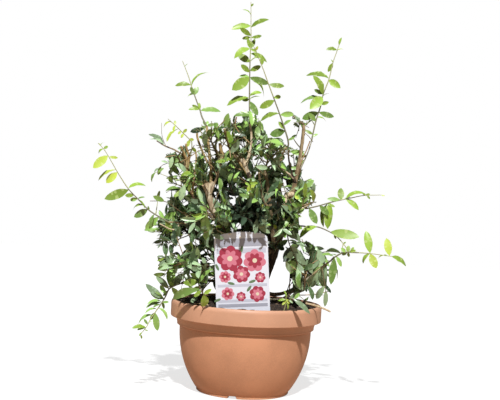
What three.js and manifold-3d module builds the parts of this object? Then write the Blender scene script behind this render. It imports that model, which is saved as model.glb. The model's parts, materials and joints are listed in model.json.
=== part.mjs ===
// Pomegranate tree in a round footed bowl, with its plant card.
// Millimetres, +Z up. The origin is the middle of the pot's underside and the plant's front faces -Y.
import * as THREE from 'three';
import { ConvexGeometry } from 'three/addons/geometries/ConvexGeometry.js';
import { mergeVertices } from 'three/addons/utils/BufferGeometryUtils.js';
import Module from 'manifold-3d';

const wasm = await Module();
wasm.setup();
const { Manifold, Mesh: SolidMesh } = wasm;

// ---------------------------------------------------------------- driving dimensions
const GAP = 0.3; // clearance between two pieces that meet
const SLIVER = 1e-3; // points nearer together than this are one point
const UP = new THREE.Vector3(0, 0, 1);

const POT = {
  segments: 32,
  height: 172,
  rimRadius: 145,
  rimThickness: 7.5,
  rimBevel: 3,
  lipDepth: 10, // straight inside of the rim
  bandHeight: 31,
  bandBevel: 1,
  neckTopRadius: 135,
  neckFootRadius: 132,
  neckHeight: 12.5,
  beadHeight: 5.5,
  beadEdge: 3,
  bellyRadius: 126.8,
  bellyHeight: 118, // where the belly's side stands upright
  bellyArc: 193, // radius of the belly's curve
  cornerHeight: 5.5,
  cornerBevel: 1.5,
  wall: 3.2,
  floorRadius: 86, // inside
  floorThickness: 6,
};

const FOOT = {
  outerRadius: 85,
  innerRadius: 80,
  recess: 5,
  notchWidth: 17,
  notchHeight: 4.8,
  notchDepth: 14,
  notchAngles: [-12, 108, 228], // degrees from the front, towards +X
};

const SOIL = {
  edgeHeight: 166,
  moundHeight: 174,
  moundRadius: 34, // flat seat round the trunk
  shoulderRadius: 100,
  shoulderRise: 4,
};

const CARD = {
  width: 98,
  thickness: 1.2,
  footHeight: 150,
  topHeight: 311,
  arch: 4,
  cornerRadius: 12,
  footCentre: -4, // x of the middle of its foot
  depth: -112,
  leanDegrees: 5,
};

const LIMB = {
  sides: 5,
  trunkSides: 10,
  trunkSegments: 5,
  segmentLength: 42,
  footSwell: 1.2, // extra radius where a bough leaves its parent
  swellShare: 0.2, // of the bough's length
  flare: 6, // extra radius of the trunk's foot
  flareShare: 0.33, // of the trunk's length
  rootDepth: 10, // how far the trunk's tube runs below the level cut
};

const TWIG = {
  sides: 3,
  stemRadius: 2.4,
  radius: 1.8,
  taper: 0.6, // tip radius as a share of the foot's
  bentSegments: 5,
  shoulder: 0.12, // share of its length where a side twig is thickest
  first: 0.1, // share of the stem below its first twig and first leaf pair
  shortening: 0.45, // how much shorter twigs are at the stem's tip
  length: [0.8, 0.4], // factor on twigLength: the least and the spread above it
  openDegrees: [48, 30], // off the stem: the least and the spread
  rise: 0.12, // of the tip, as a share of the length
  firstLeaf: 0.4, // share of the twig below its first leaf pair
  shortest: 12,
  shrinkStep: 0.85, // a twig that doesn't fit is tried again at this share
};

const LEAF = {
  width: 0.4, // width, thickness and the place of the widest point are shares of the length
  thickness: 0.04,
  belly: 0.45,
  pairStep: 1.6, // between the roots of the two leaves of a pair
  size: [0.78, 0.4], // factor on leafLength: the least and the spread above it
  endSize: 0.85,
  shrinking: 0.25, // how much smaller leaves are at the stem's tip
  onStem: 0.92,
  sideLean: [0.85, 0.4], // radians off the twig: the least and the spread
  endLean: [0.45, 0.3],
  lift: [-0.08, 0.2],
  roll: [-0.9, 1.8],
  footShare: 0.3, // share of the leaf, at its root, that may lie near another leaf
  spacing: 0.62, // of two leaves, as a share of their half widths together
  tries: [1, 0.82, 0.66], // sizes tried in turn where a leaf doesn't fit
};

const SPACE = {
  margin: 0.8, // between two masses, on each side
  seeds: [0.2, 0.6, 1], // shares of the stem that claim the space round them
  limbClearance: 0.5,
  cardClearance: 4,
  rimClearance: 6,
  lowest: 20, // height above the ground
};

const CROWN_HEART = new THREE.Vector3(0, 0, 300); // leaves turn their faces away from here
const SUN = new THREE.Vector3(-0.15, -0.6, 0.8).normalize(); // and towards the light
const FACE_OUTWARD = 0.6;
const FACE_SUN = 0.8;
const SEED = 42;
const GOLDEN_ANGLE = Math.PI * (3 - Math.sqrt(5));

// A limb runs from a place on its parent (a share of the parent's length) to its tip.
// bow moves the middle of the limb off the straight line, and radii are at its foot and tip.
const LIMBS = [
  {
    name: 'trunk', start: [14, 0, SOIL.moundHeight + GAP],
    tip: [51, 2, 288], bow: [1, 0, 0], radii: [16, 10.5],
  },
  {
    name: 'bough_right', from: 'trunk', at: 0.99,
    tip: [92, -12, 518], bow: [9, 0, 0], radii: [6.8, 3.4],
  },
  {
    name: 'bough_centre', from: 'trunk', at: 0.95,
    tip: [-22, -15, 447], bow: [-5, 0, 12], radii: [7.6, 4.6],
  },
  {
    name: 'bough_left', from: 'trunk', at: 0.7,
    tip: [-87, -22, 397], bow: [-26, -4, -16], radii: [7.4, 5.2],
  },
  {
    name: 'bough_inner', from: 'trunk', at: 0.86,
    tip: [22, -34, 425], bow: [3, -12, 0], radii: [3.6, 2.4],
  },
  {
    name: 'bough_leader', from: 'bough_centre', at: 0.9,
    tip: [-12, -2, 515], bow: [7, 2, 0], radii: [3.2, 2.5],
  },
  {
    name: 'bough_left_upper', from: 'bough_left', at: 0.78,
    tip: [-96, 22, 508], bow: [2, 14, 0], radii: [3.4, 2.4],
  },
  {
    name: 'bough_left_outer', from: 'bough_left', at: 0.6,
    tip: [-132, -16, 420], bow: [-12, 0, -8], radii: [3.8, 2.6],
  },
  {
    name: 'bough_left_far', from: 'bough_left', at: 0.42,
    tip: [-156, -24, 318], bow: [0, 0, 6], radii: [3.4, 2.2],
  },
  {
    name: 'bough_left_mid', from: 'bough_left', at: 0.28,
    tip: [-108, 38, 288], bow: [0, 6, -6], radii: [3.6, 2.4],
  },
  {
    name: 'bough_left_low', from: 'trunk', at: 0.42,
    tip: [-84, -50, 242], bow: [0, 0, -6], radii: [4.6, 3],
  },
  {
    name: 'bough_left_droop', from: 'trunk', at: 0.14,
    tip: [-126, -34, 204], bow: [0, 0, 12], radii: [3.8, 2.4],
  },
  {
    name: 'bough_front_left', from: 'trunk', at: 0.62,
    tip: [-36, -74, 298], bow: [0, 0, -6], radii: [4, 2.8],
  },
  {
    name: 'bough_front', from: 'trunk', at: 0.8,
    tip: [-6, -56, 322], bow: [0, -8, 0], radii: [3.8, 2.6],
  },
  {
    name: 'bough_left_inner', from: 'bough_left', at: 0.88,
    tip: [-64, -30, 446], bow: [5, 0, 0], radii: [3.2, 2.4],
  },
  {
    name: 'bough_middle', from: 'bough_centre', at: 0.28,
    tip: [14, 30, 362], bow: [0, 4, 0], radii: [3.4, 2.4],
  },
  {
    name: 'bough_front_right', from: 'trunk', at: 0.9,
    tip: [66, -62, 322], bow: [0, 0, -8], radii: [3.8, 2.6],
  },
  {
    name: 'bough_right_low', from: 'trunk', at: 0.1,
    tip: [108, -42, 206], bow: [0, 0, -14], radii: [4.4, 3],
  },
  {
    name: 'bough_right_shoot', from: 'bough_right_low', at: 0.6,
    tip: [156, -34, 262], bow: [0, 0, 2], radii: [2.8, 2.1],
  },
  {
    name: 'bough_right_arch', from: 'bough_right', at: 0.1,
    tip: [112, -12, 322], bow: [0, 0, 6], radii: [3.2, 2.2],
  },
  {
    name: 'bough_right_mid', from: 'bough_right', at: 0.3,
    tip: [110, 10, 364], bow: [0, 0, -4], radii: [2.8, 2],
  },
  {
    name: 'bough_right_fork', from: 'bough_right', at: 0.52,
    tip: [63, -34, 474], bow: [-4, -4, 0], radii: [3, 2.3],
  },
  {
    name: 'bough_right_spur', from: 'bough_right', at: 0.58,
    tip: [109, 4, 488], bow: [3, 0, 0], radii: [2.8, 2.1],
  },
  {
    name: 'bough_back_low', from: 'trunk', at: 0.34,
    tip: [-66, 76, 240], bow: [0, 0, -4], radii: [4.6, 3],
  },
  {
    name: 'bough_back_left', from: 'trunk', at: 0.8,
    tip: [-62, 76, 342], bow: [-4, 6, -8], radii: [4.6, 3],
  },
  {
    name: 'bough_back_high', from: 'bough_centre', at: 0.4,
    tip: [-16, 64, 430], bow: [0, 8, -8], radii: [4, 2.6],
  },
  {
    name: 'bough_back', from: 'trunk', at: 0.92,
    tip: [34, 86, 342], bow: [0, 8, -8], radii: [4.6, 3],
  },
  {
    name: 'bough_back_right', from: 'bough_right', at: 0.2,
    tip: [84, 62, 372], bow: [6, 6, -6], radii: [3.6, 2.6],
  },
  {
    name: 'bough_right_back_low', from: 'trunk', at: 0.2,
    tip: [124, 60, 228], bow: [0, 4, -24], radii: [4.2, 2.8],
  },
];

// A mass grows from its bough's tip along one stem to stemTip. twigs is how many side twigs branch off,
// twigLength and leafLength are sizes at the stem's foot, reach is how far a leaf may lie from the stem,
// nodeStep is the way between leaf pairs, and bareTip is the share of the stem, towards its end,
// that bears leaf pairs but no side twigs.
const straight = [0, 0, 0];
const dense = {
  bow: straight, twigs: 7, twigLength: 56, leafLength: 62, reach: 74, bareTip: 0.1, nodeStep: 28,
};
const shoot = {
  bow: straight, twigs: 5, twigLength: 32, leafLength: 40, reach: 46, bareTip: 0.62, nodeStep: 25,
};
const arch = { ...shoot, twigs: 6, twigLength: 42, leafLength: 44, bareTip: 0.3 };
const MASSES = [
  {
    ...shoot, name: 'foliage_leader', bough: 'bough_leader',
    stemTip: [-24, 15, 727], bow: [4, 0, 0], twigs: 6,
  },
  {
    ...shoot, name: 'foliage_leader_right', bough: 'bough_right_fork',
    stemTip: [-9, -64, 640], bow: [10, 0, 0],
  },
  {
    ...shoot, name: 'foliage_shoot_right', bough: 'bough_right_spur',
    stemTip: [160, 45, 678], bow: [-4, 0, 0], twigs: 3,
  },
  {
    ...shoot, name: 'foliage_shoot_left', bough: 'bough_left_upper',
    stemTip: [-151, 60, 618], bow: [4, 0, 0], twigs: 4,
  },
  { ...dense, name: 'foliage_left_top', bough: 'bough_left_outer', stemTip: [-150, -46, 452], reach: 58 },
  {
    ...shoot, name: 'foliage_far_left', bough: 'bough_left_far',
    stemTip: [-282, -50, 442], bow: [-14, 0, -6], twigs: 4,
  },
  { ...dense, name: 'foliage_left', bough: 'bough_left_mid', stemTip: [-154, 50, 320] },
  { ...dense, name: 'foliage_left_high', bough: 'bough_left', stemTip: [-114, -52, 420] },
  { ...dense, name: 'foliage_left_inner', bough: 'bough_left_inner', stemTip: [-92, -46, 490], reach: 54 },
  { ...dense, name: 'foliage_left_low', bough: 'bough_left_low', stemTip: [-132, -84, 246] },
  {
    ...arch, name: 'foliage_left_droop', bough: 'bough_left_droop',
    stemTip: [-190, -70, 116], bow: [-12, 0, 14],
  },
  { ...dense, name: 'foliage_front_left', bough: 'bough_front_left', stemTip: [-78, -108, 350] },
  { ...dense, name: 'foliage_front', bough: 'bough_front', stemTip: [-14, -104, 354] },
  { ...dense, name: 'foliage_inner', bough: 'bough_inner', stemTip: [32, -52, 480], reach: 56 },
  { ...dense, name: 'foliage_centre', bough: 'bough_centre', stemTip: [-52, -62, 468], reach: 66 },
  {
    ...dense, name: 'foliage_right_high', bough: 'bough_right',
    stemTip: [72, 14, 536], reach: 44, twigLength: 34,
  },
  { ...dense, name: 'foliage_middle', bough: 'bough_middle', stemTip: [-6, 40, 420] },
  {
    ...dense, name: 'foliage_front_right', bough: 'bough_front_right',
    stemTip: [76, -106, 368], reach: 64,
  },
  {
    ...arch, name: 'foliage_far_right', bough: 'bough_right_mid',
    stemTip: [246, 40, 392], bow: [0, 0, 10], twigs: 3, bareTip: 0.5, twigLength: 28, leafLength: 36,
  },
  {
    ...arch, name: 'foliage_right', bough: 'bough_right_arch',
    stemTip: [182, -40, 288], bow: [6, 0, 16], twigs: 4, bareTip: 0.1, leafLength: 40,
  },
  { ...dense, name: 'foliage_right_low', bough: 'bough_right_low', stemTip: [104, -66, 262], reach: 58 },
  {
    ...shoot, name: 'foliage_right_shoot', bough: 'bough_right_shoot',
    stemTip: [282, -62, 262], bow: [0, 0, 6], twigs: 3,
  },
  { ...dense, name: 'foliage_back_low', bough: 'bough_back_low', stemTip: [-94, 102, 262] },
  { ...dense, name: 'foliage_back_left', bough: 'bough_back_left', stemTip: [-90, 100, 402] },
  {
    ...dense, name: 'foliage_back_high', bough: 'bough_back_high',
    stemTip: [-14, 84, 514], twigLength: 46,
  },
  { ...dense, name: 'foliage_back', bough: 'bough_back', stemTip: [22, 100, 400] },
  { ...dense, name: 'foliage_back_right', bough: 'bough_back_right', stemTip: [82, 92, 430], reach: 52 },
  {
    ...dense, name: 'foliage_right_back_low', bough: 'bough_right_back_low',
    stemTip: [138, 92, 280], reach: 52,
  },
];

// ---------------------------------------------------------------- materials
const finish = (color, roughness) => new THREE.MeshStandardMaterial({ color, roughness, metalness: 0 });
const MATERIALS = {
  pot: finish(0xc98f6b, 0.6),
  soil: finish(0x2b211b, 0.95),
  card: finish(0xdfe2ee, 0.4),
  trunk: finish(0x5a4530, 0.85),
  bough: finish(0x6f563c, 0.85),
  foliage: finish(0x4f7345, 0.5),
};

// ---------------------------------------------------------------- helpers
const vector = (list) => new THREE.Vector3(...list);
const spread = (random, [least, range]) => least + range * random();

// The same linear congruential numbers for every run.
function randomFrom(seed) {
  let state = seed >>> 0;
  return () => {
    state = (Math.imul(state, 1664525) + 1013904223) >>> 0;
    return state / 4294967296;
  };
}

// A closed three.js geometry as a solid whose shared vertices are merged.
function toSolid(geometry, tolerance = 1e-4) {
  geometry.deleteAttribute('normal');
  geometry.deleteAttribute('uv');
  const merged = mergeVertices(geometry, tolerance);
  return new Manifold(new SolidMesh({
    numProp: 3,
    vertProperties: new Float32Array(merged.attributes.position.array),
    triVerts: new Uint32Array(merged.index.array),
  }));
}

// A solid back as a three.js geometry.
function toGeometry(solid) {
  const { numProp, vertProperties, triVerts } = solid.getMesh();
  const positions = new Float32Array((vertProperties.length / numProp) * 3);
  for (let i = 0; i < positions.length / 3; i++) {
    positions.set(vertProperties.subarray(i * numProp, i * numProp + 3), i * 3);
  }
  const geometry = new THREE.BufferGeometry();
  geometry.setAttribute('position', new THREE.BufferAttribute(positions, 3));
  geometry.setIndex(new THREE.BufferAttribute(new Uint32Array(triVerts), 1));
  return geometry;
}

function toMesh(name, solid, material) {
  const mesh = new THREE.Mesh(toGeometry(solid), material);
  mesh.geometry.computeVertexNormals();
  mesh.name = name;
  return mesh;
}

// The biggest connected piece of a solid: loose scraps, sealed hollows and slivers are left out.
function mainPiece(solid) {
  const cleaned = toSolid(toGeometry(solid), SLIVER);
  return cleaned.decompose().reduce((best, piece) => (piece.volume() > best.volume() ? piece : best));
}

// A profile of [radius, height] points turned round the Z axis.
function turned(profile) {
  const points = profile.map(([radius, height]) => new THREE.Vector2(radius, height));
  return toSolid(new THREE.LatheGeometry(points, POT.segments).rotateX(Math.PI / 2));
}

// ---------------------------------------------------------------- pot, soil and card
function bellyRadiusAt(height) {
  const drop = POT.bellyHeight - height;
  return POT.bellyRadius - POT.bellyArc + Math.sqrt(POT.bellyArc ** 2 - drop ** 2);
}

// The belly's side from its bottom corner up to where it stands upright, moved inwards by inset.
function bellyCurve(inset, steps = 5) {
  const points = [];
  for (let i = 0; i <= steps; i++) {
    const share = Math.sin((i / steps) * (Math.PI / 2));
    const height = THREE.MathUtils.lerp(POT.cornerHeight + POT.cornerBevel, POT.bellyHeight, share);
    points.push([bellyRadiusAt(height) - inset, height]);
  }
  return points;
}

// The inside of the pot from its floor up, moved inwards by inset.
function insideCurve(inset) {
  const floor = FOOT.recess + POT.floorThickness;
  const bandFoot = POT.height - POT.bandHeight;
  return [
    [0, floor + inset],
    [POT.floorRadius, floor + inset],
    ...bellyCurve(POT.wall + inset, 3).slice(1),
    [POT.bellyRadius - POT.wall - inset, POT.bellyHeight + POT.wall],
    [POT.neckTopRadius - POT.wall - inset, bandFoot + POT.bandBevel],
    [POT.rimRadius - POT.rimThickness - inset, POT.height - POT.lipDepth],
  ];
}

function makePot() {
  const { height, rimRadius: rim, bandHeight, neckHeight } = POT;
  const bandFoot = height - bandHeight;
  const neckFoot = bandFoot - neckHeight;
  const outside = [
    [0, FOOT.recess],
    [FOOT.innerRadius, FOOT.recess],
    [FOOT.innerRadius, 0],
    [FOOT.outerRadius, 0],
    [FOOT.outerRadius, POT.cornerHeight],
    [bellyRadiusAt(POT.cornerHeight) - POT.cornerBevel, POT.cornerHeight],
    ...bellyCurve(0),
    [POT.bellyRadius, neckFoot - POT.beadHeight],
    [POT.neckFootRadius, neckFoot - POT.beadEdge],
    [POT.neckFootRadius, neckFoot],
    [POT.neckTopRadius, bandFoot],
    [rim - POT.bandBevel, bandFoot],
    [rim, bandFoot + POT.bandBevel],
    [rim, height - POT.rimBevel],
    [rim - POT.rimBevel, height],
    [rim - POT.rimThickness, height],
  ];
  let pot = turned([...outside, ...insideCurve(0).reverse()]);
  for (const degrees of FOOT.notchAngles) {
    const angle = THREE.MathUtils.degToRad(degrees);
    const notch = new THREE.BoxGeometry(FOOT.notchWidth, FOOT.notchDepth, FOOT.notchHeight * 2);
    notch.translate(0, -(FOOT.outerRadius + FOOT.innerRadius) / 2, 0);
    pot = pot.subtract(toSolid(notch.rotateZ(angle)));
  }
  return pot;
}

// The card's outline standing in the XZ plane, grown by margin on every side.
function cardSolid(margin = 0) {
  const half = CARD.width / 2 + margin;
  const top = CARD.topHeight - CARD.footHeight + margin;
  const corner = CARD.cornerRadius;
  const outline = new THREE.Shape();
  outline.moveTo(-half, -margin);
  outline.lineTo(half, -margin);
  outline.lineTo(half, top - CARD.arch - corner);
  outline.quadraticCurveTo(half, top - CARD.arch, half - corner, top - CARD.arch + 1);
  outline.quadraticCurveTo(0, top + 1, corner - half, top - CARD.arch + 1);
  outline.quadraticCurveTo(-half, top - CARD.arch, -half, top - CARD.arch - corner);
  const depth = CARD.thickness + 2 * margin;
  const card = new THREE.ExtrudeGeometry(outline, { depth, bevelEnabled: false, curveSegments: 6 });
  card.translate(0, 0, -depth / 2);
  card.rotateX(Math.PI / 2);
  card.rotateY(-THREE.MathUtils.degToRad(CARD.leanDegrees));
  card.translate(CARD.footCentre, CARD.depth, CARD.footHeight);
  return toSolid(card);
}

function makeSoil() {
  const profile = [
    ...insideCurve(GAP),
    [POT.rimRadius - POT.rimThickness - GAP, SOIL.edgeHeight],
    [SOIL.shoulderRadius, SOIL.edgeHeight + SOIL.shoulderRise],
    [SOIL.moundRadius, SOIL.moundHeight],
    [0, SOIL.moundHeight],
  ];
  return turned(profile).subtract(cardSolid(GAP));
}

// ---------------------------------------------------------------- limbs
// A path keeps its curve with its radii, and is measured in shares of its length.
function makePath(start, tip, bow, radii) {
  const middle = start.clone().lerp(tip, 0.5).add(vector(bow));
  const control = middle.clone().multiplyScalar(2).sub(start.clone().add(tip).multiplyScalar(0.5));
  const curve = new THREE.QuadraticBezierCurve3(start, control, tip);
  return {
    start,
    tip,
    segments: Math.max(2, Math.round(start.distanceTo(tip) / LIMB.segmentLength)),
    at: (share) => curve.getPoint(share),
    heading: (share) => {
      const before = control.clone().sub(start).multiplyScalar(1 - share);
      return before.add(tip.clone().sub(control).multiplyScalar(share)).normalize();
    },
    radius: (share) => THREE.MathUtils.lerp(radii[0], radii[1], share),
  };
}

// Two directions square to a heading, turned by spin.
function sideways(heading, spin = 0) {
  const reference = Math.abs(heading.z) > 0.9 ? new THREE.Vector3(0, -1, 0) : UP;
  const side = new THREE.Vector3().crossVectors(heading, reference).normalize();
  return side.applyAxisAngle(heading, spin);
}

// A closed tapering tube: a cylinder whose rings are carried along the path.
function tubeAlong(path, sides, segments, grow = 0, flare = () => 0) {
  const tube = new THREE.CylinderGeometry(1, 1, 1, sides, segments);
  const position = tube.attributes.position;
  for (let i = 0; i < position.count; i++) {
    const share = position.getY(i) + 0.5;
    const heading = path.heading(share);
    const side = sideways(heading);
    const other = new THREE.Vector3().crossVectors(side, heading);
    const radius = path.radius(share) + grow + flare(share);
    const point = path.at(share)
      .addScaledVector(side, position.getX(i) * radius)
      .addScaledVector(other, position.getZ(i) * radius);
    position.setXYZ(i, point.x, point.y, point.z);
  }
  return toSolid(tube);
}

// The trunk's foot swells towards the soil and is cut level there.
function trunkSolid(path, grow = 0) {
  const flare = (share) => LIMB.flare * Math.max(0, 1 - share / LIMB.flareShare) ** 2;
  const foot = path.start.clone().addScaledVector(path.heading(0), -LIMB.rootDepth);
  const rooted = makePath(foot, path.tip, straight, LIMBS[0].radii);
  const tall = tubeAlong(rooted, LIMB.trunkSides, LIMB.trunkSegments, grow, flare);
  return tall.trimByPlane([0, 0, 1], path.start.z);
}

// Every limb, its foot cut clear of the limbs that were made before it.
function makeLimbs() {
  const limbs = new Map();
  for (const limb of LIMBS) {
    const parent = limbs.get(limb.from);
    const start = parent ? parent.path.at(limb.at) : vector(limb.start);
    const path = makePath(start, vector(limb.tip), limb.bow, limb.radii);
    const swell = (share) => LIMB.footSwell * Math.max(0, 1 - share / LIMB.swellShare);
    let solid = parent ? tubeAlong(path, LIMB.sides, path.segments, 0, swell) : trunkSolid(path);
    for (const earlier of limbs.values()) solid = solid.subtract(earlier.clearance);
    const clearance = parent
      ? tubeAlong(path, LIMB.sides, path.segments, GAP, swell)
      : trunkSolid(path, GAP);
    limbs.set(limb.name, { path, solid: mainPiece(solid), clearance });
  }
  return limbs;
}

// ---------------------------------------------------------------- spaces of the masses
// How near two straight stretches come to each other.
function stretchDistance(a0, a1, b0, b1) {
  const u = a1.clone().sub(a0);
  const v = b1.clone().sub(b0);
  const w = a0.clone().sub(b0);
  const uu = u.dot(u), uv = u.dot(v), vv = v.dot(v), uw = u.dot(w), vw = v.dot(w);
  const det = uu * vv - uv * uv;
  const clamp = THREE.MathUtils.clamp;
  let s = det > 1e-9 ? clamp((uv * vw - vv * uw) / det, 0, 1) : 0;
  const t = clamp((uv * s + vw) / vv, 0, 1);
  s = clamp((uv * t - uw) / uu, 0, 1);
  return a0.clone().addScaledVector(u, s).distanceTo(b0.clone().addScaledVector(v, t));
}

function limbStretches(limbs) {
  const stretches = [];
  for (const { path } of limbs.values()) {
    for (let i = 0; i < path.segments; i++) {
      const low = i / path.segments;
      const high = (i + 1) / path.segments;
      stretches.push({ a: path.at(low), b: path.at(high), radius: path.radius(low) + LIMB.footSwell });
    }
  }
  return stretches;
}

// A mass's space: nearer to its own stem's seeds than to any other mass's, within its reach,
// clear of the limbs, of the soil and pot, and of the card.
function makeSpaces(stems, limbs) {
  const seeds = stems.map(({ path }) => SPACE.seeds.map((share) => path.at(share)));
  const stretches = limbStretches(limbs);
  const { min, max } = cardSolid(SPACE.cardClearance).boundingBox();
  const card = new THREE.Box3(vector(min), vector(max));

  function holdsPoint(index, point, reach) {
    const own = seeds[index].reduce((best, seed) => (
      seed.distanceToSquared(point) < best.distanceToSquared(point) ? seed : best));
    const ownDistance = own.distanceToSquared(point);
    const above = point.clone().addScaledVector(UP, SLIVER);
    const nearStem = seeds[index].some((seed, i) => (
      i > 0 && stretchDistance(point, above, seeds[index][i - 1], seed) < reach));
    if (!nearStem) return false;
    for (let other = 0; other < seeds.length; other++) {
      if (other === index) continue;
      for (const seed of seeds[other]) {
        const beyond = (seed.distanceToSquared(point) - ownDistance) / (2 * seed.distanceTo(own));
        if (beyond < SPACE.margin) return false;
      }
    }
    const overPot = Math.hypot(point.x, point.y) < POT.rimRadius + SPACE.rimClearance;
    if (point.z < (overPot ? POT.height + SPACE.rimClearance : SPACE.lowest)) return false;
    return !card.containsPoint(point);
  }

  function clearOfLimbs(a, b, radius) {
    return stretches.every((limb) => (
      stretchDistance(a, b, limb.a, limb.b) > limb.radius + radius + SPACE.limbClearance));
  }

  return { holdsPoint, clearOfLimbs };
}

// ---------------------------------------------------------------- leaves and twigs
// A leaf is a thin lozenge with a keel, widest just below its middle, with its root in the twig:
// its root, tip, two shoulders and keel.
function leafPoints(root, heading, face, length) {
  const across = new THREE.Vector3().crossVectors(heading, face).normalize();
  const middle = root.clone().addScaledVector(heading, LEAF.belly * length);
  const half = (LEAF.width * length) / 2;
  return [
    root,
    root.clone().addScaledVector(heading, length),
    middle.clone().addScaledVector(across, half),
    middle.clone().addScaledVector(across, -half),
    middle.clone().addScaledVector(face, LEAF.thickness * length),
  ];
}

// The leaf pairs along a twig, out of the middles of its sides, each pair a side on from the last.
function leafPairs(path, length, nodeStep, leafLength, random, firstNode) {
  const leaves = [];
  const nodes = Math.max(1, Math.round((length - firstNode) / nodeStep));
  for (let node = 0; node <= nodes; node++) {
    const along = THREE.MathUtils.lerp(firstNode, length - LEAF.pairStep, node / nodes);
    const share = along / length;
    const heading = path.heading(share);
    const last = node === nodes;
    for (const turn of [0, 1]) {
      const side = sideways(heading, Math.PI / 2 + (turn - node) * ((2 * Math.PI) / TWIG.sides));
      const lean = spread(random, last ? LEAF.endLean : LEAF.sideLean);
      const blade = heading.clone().multiplyScalar(Math.cos(lean)).addScaledVector(side, Math.sin(lean));
      blade.addScaledVector(UP, spread(random, LEAF.lift)).normalize();
      const root = path.at(share).addScaledVector(heading, (turn - 0.5) * LEAF.pairStep);
      const outward = root.clone().sub(CROWN_HEART).normalize();
      const face = outward.multiplyScalar(FACE_OUTWARD).addScaledVector(SUN, FACE_SUN);
      face.addScaledVector(blade, -face.dot(blade)).normalize();
      face.applyAxisAngle(blade, spread(random, LEAF.roll));
      const size = leafLength * spread(random, LEAF.size) * (last ? LEAF.endSize : 1);
      leaves.push({ root, blade, face, size });
    }
  }
  return leaves;
}

// A side twig: a slim spike with its root in the stem's middle and a blunt tip.
function twigSolid(path) {
  const points = [path.start];
  for (const share of [TWIG.shoulder, 1]) {
    const side = sideways(path.heading(share));
    for (let corner = 0; corner < TWIG.sides; corner++) {
      const turn = (2 * Math.PI * corner) / TWIG.sides + Math.PI / 6;
      const direction = side.clone().applyAxisAngle(path.heading(share), turn);
      points.push(path.at(share).addScaledVector(direction, path.radius(share)));
    }
  }
  return toSolid(new ConvexGeometry(points));
}

function stemOf(mass, limbs, index) {
  const { path: bough } = limbs.get(mass.bough);
  const start = bough.tip.clone().addScaledVector(bough.heading(1), GAP);
  const path = makePath(start, vector(mass.stemTip), mass.bow, [TWIG.stemRadius, TWIG.radius * TWIG.taper]);
  return { mass, path, length: start.distanceTo(vector(mass.stemTip)), index };
}

// One mass: a stem, side twigs a golden angle apart, and leaves on all of them, cut clear of the limbs' room.
function makeMass({ mass, path, length, index }, spaces, room) {
  const random = randomFrom(SEED + index * 101);
  const bends = mass.bow.some((way) => way !== 0);
  const parts = [tubeAlong(path, TWIG.sides, bends ? TWIG.bentSegments : 1)];
  const midribs = [];
  const holds = (points) => points.every((point) => spaces.holdsPoint(index, point, mass.reach));
  const leafFits = (root, blade, face, size) => {
    const [, tip, right, left] = leafPoints(root, blade, face, size);
    const half = (LEAF.width * size) / 2;
    const outer = root.clone().addScaledVector(blade, size * LEAF.footShare);
    if (!holds([tip, right, left, root.clone().lerp(tip, 0.5)])) return false;
    if (!spaces.clearOfLimbs(root.clone().addScaledVector(blade, 1), tip, half)) return false;
    return midribs.every((rib) => (
      stretchDistance(outer, tip, rib.outer, rib.tip) > LEAF.spacing * (half + rib.half)));
  };
  // A leaf that doesn't fit is tried smaller, and then left out.
  const addLeaves = (leaves) => {
    for (const { root, blade, face, size } of leaves) {
      const sizes = LEAF.tries.map((share) => size * share);
      const fitting = sizes.find((tried) => leafFits(root, blade, face, tried));
      if (!fitting) continue;
      const points = leafPoints(root, blade, face, fitting);
      const outer = root.clone().addScaledVector(blade, fitting * LEAF.footShare);
      midribs.push({ outer, tip: points[1], half: (LEAF.width * fitting) / 2 });
      parts.push(toSolid(new ConvexGeometry(points)));
    }
  };
  for (let k = 0; k < mass.twigs; k++) {
    const share = THREE.MathUtils.lerp(TWIG.first, 1 - mass.bareTip, (k + 0.5) / mass.twigs);
    const heading = path.heading(share);
    const side = sideways(heading, k * GOLDEN_ANGLE + index);
    const open = THREE.MathUtils.degToRad(spread(random, TWIG.openDegrees));
    const direction = heading.clone().multiplyScalar(Math.cos(open)).addScaledVector(side, Math.sin(open));
    const root = path.at(share);
    let reach = mass.twigLength * (1 - TWIG.shortening * share) * spread(random, TWIG.length);
    const rise = TWIG.rise * reach;
    const tipAt = (distance) => root.clone().addScaledVector(direction, distance).addScaledVector(UP, rise);
    const fits = (tip) => holds([tip])
      && spaces.clearOfLimbs(root.clone().lerp(tip, LEAF.footShare), tip, TWIG.radius);
    while (reach > TWIG.shortest && !fits(tipAt(reach))) reach *= TWIG.shrinkStep;
    if (reach <= TWIG.shortest) continue;
    const twig = makePath(root, tipAt(reach), straight, [TWIG.radius, TWIG.radius * TWIG.taper]);
    const leafLength = mass.leafLength * (1 - LEAF.shrinking * share);
    parts.push(twigSolid(twig));
    addLeaves(leafPairs(twig, reach, mass.nodeStep, leafLength, random, reach * TWIG.firstLeaf));
  }
  const leafLength = mass.leafLength * LEAF.onStem;
  addLeaves(leafPairs(path, length, mass.nodeStep, leafLength, random, length * TWIG.first));
  return mainPiece(Manifold.union(parts).subtract(room));
}

// ---------------------------------------------------------------- the plant
const group = new THREE.Group();
group.add(toMesh('pot', makePot(), MATERIALS.pot));
group.add(toMesh('soil', makeSoil(), MATERIALS.soil));
group.add(toMesh('plant_card', cardSolid(), MATERIALS.card));

const limbs = makeLimbs();
for (const [name, { solid }] of limbs) {
  group.add(toMesh(name, solid, name === 'trunk' ? MATERIALS.trunk : MATERIALS.bough));
}

const stems = MASSES.map((mass, index) => stemOf(mass, limbs, index));
const spaces = makeSpaces(stems, limbs);
const room = Manifold.union([cardSolid(GAP), ...[...limbs.values()].map(({ clearance }) => clearance)]);
for (const stem of stems) {
  group.add(toMesh(stem.mass.name, makeMass(stem, spaces, room), MATERIALS.foliage));
}

export default group;
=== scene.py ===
"""Looks for a potted pomegranate tree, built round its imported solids.

Each operator makes one piece, or a group of like pieces, in metres, with +Z up and the plant's front
towards -Y. Sizes in the tables are millimetres, the same as in the part's source.
"""

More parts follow.
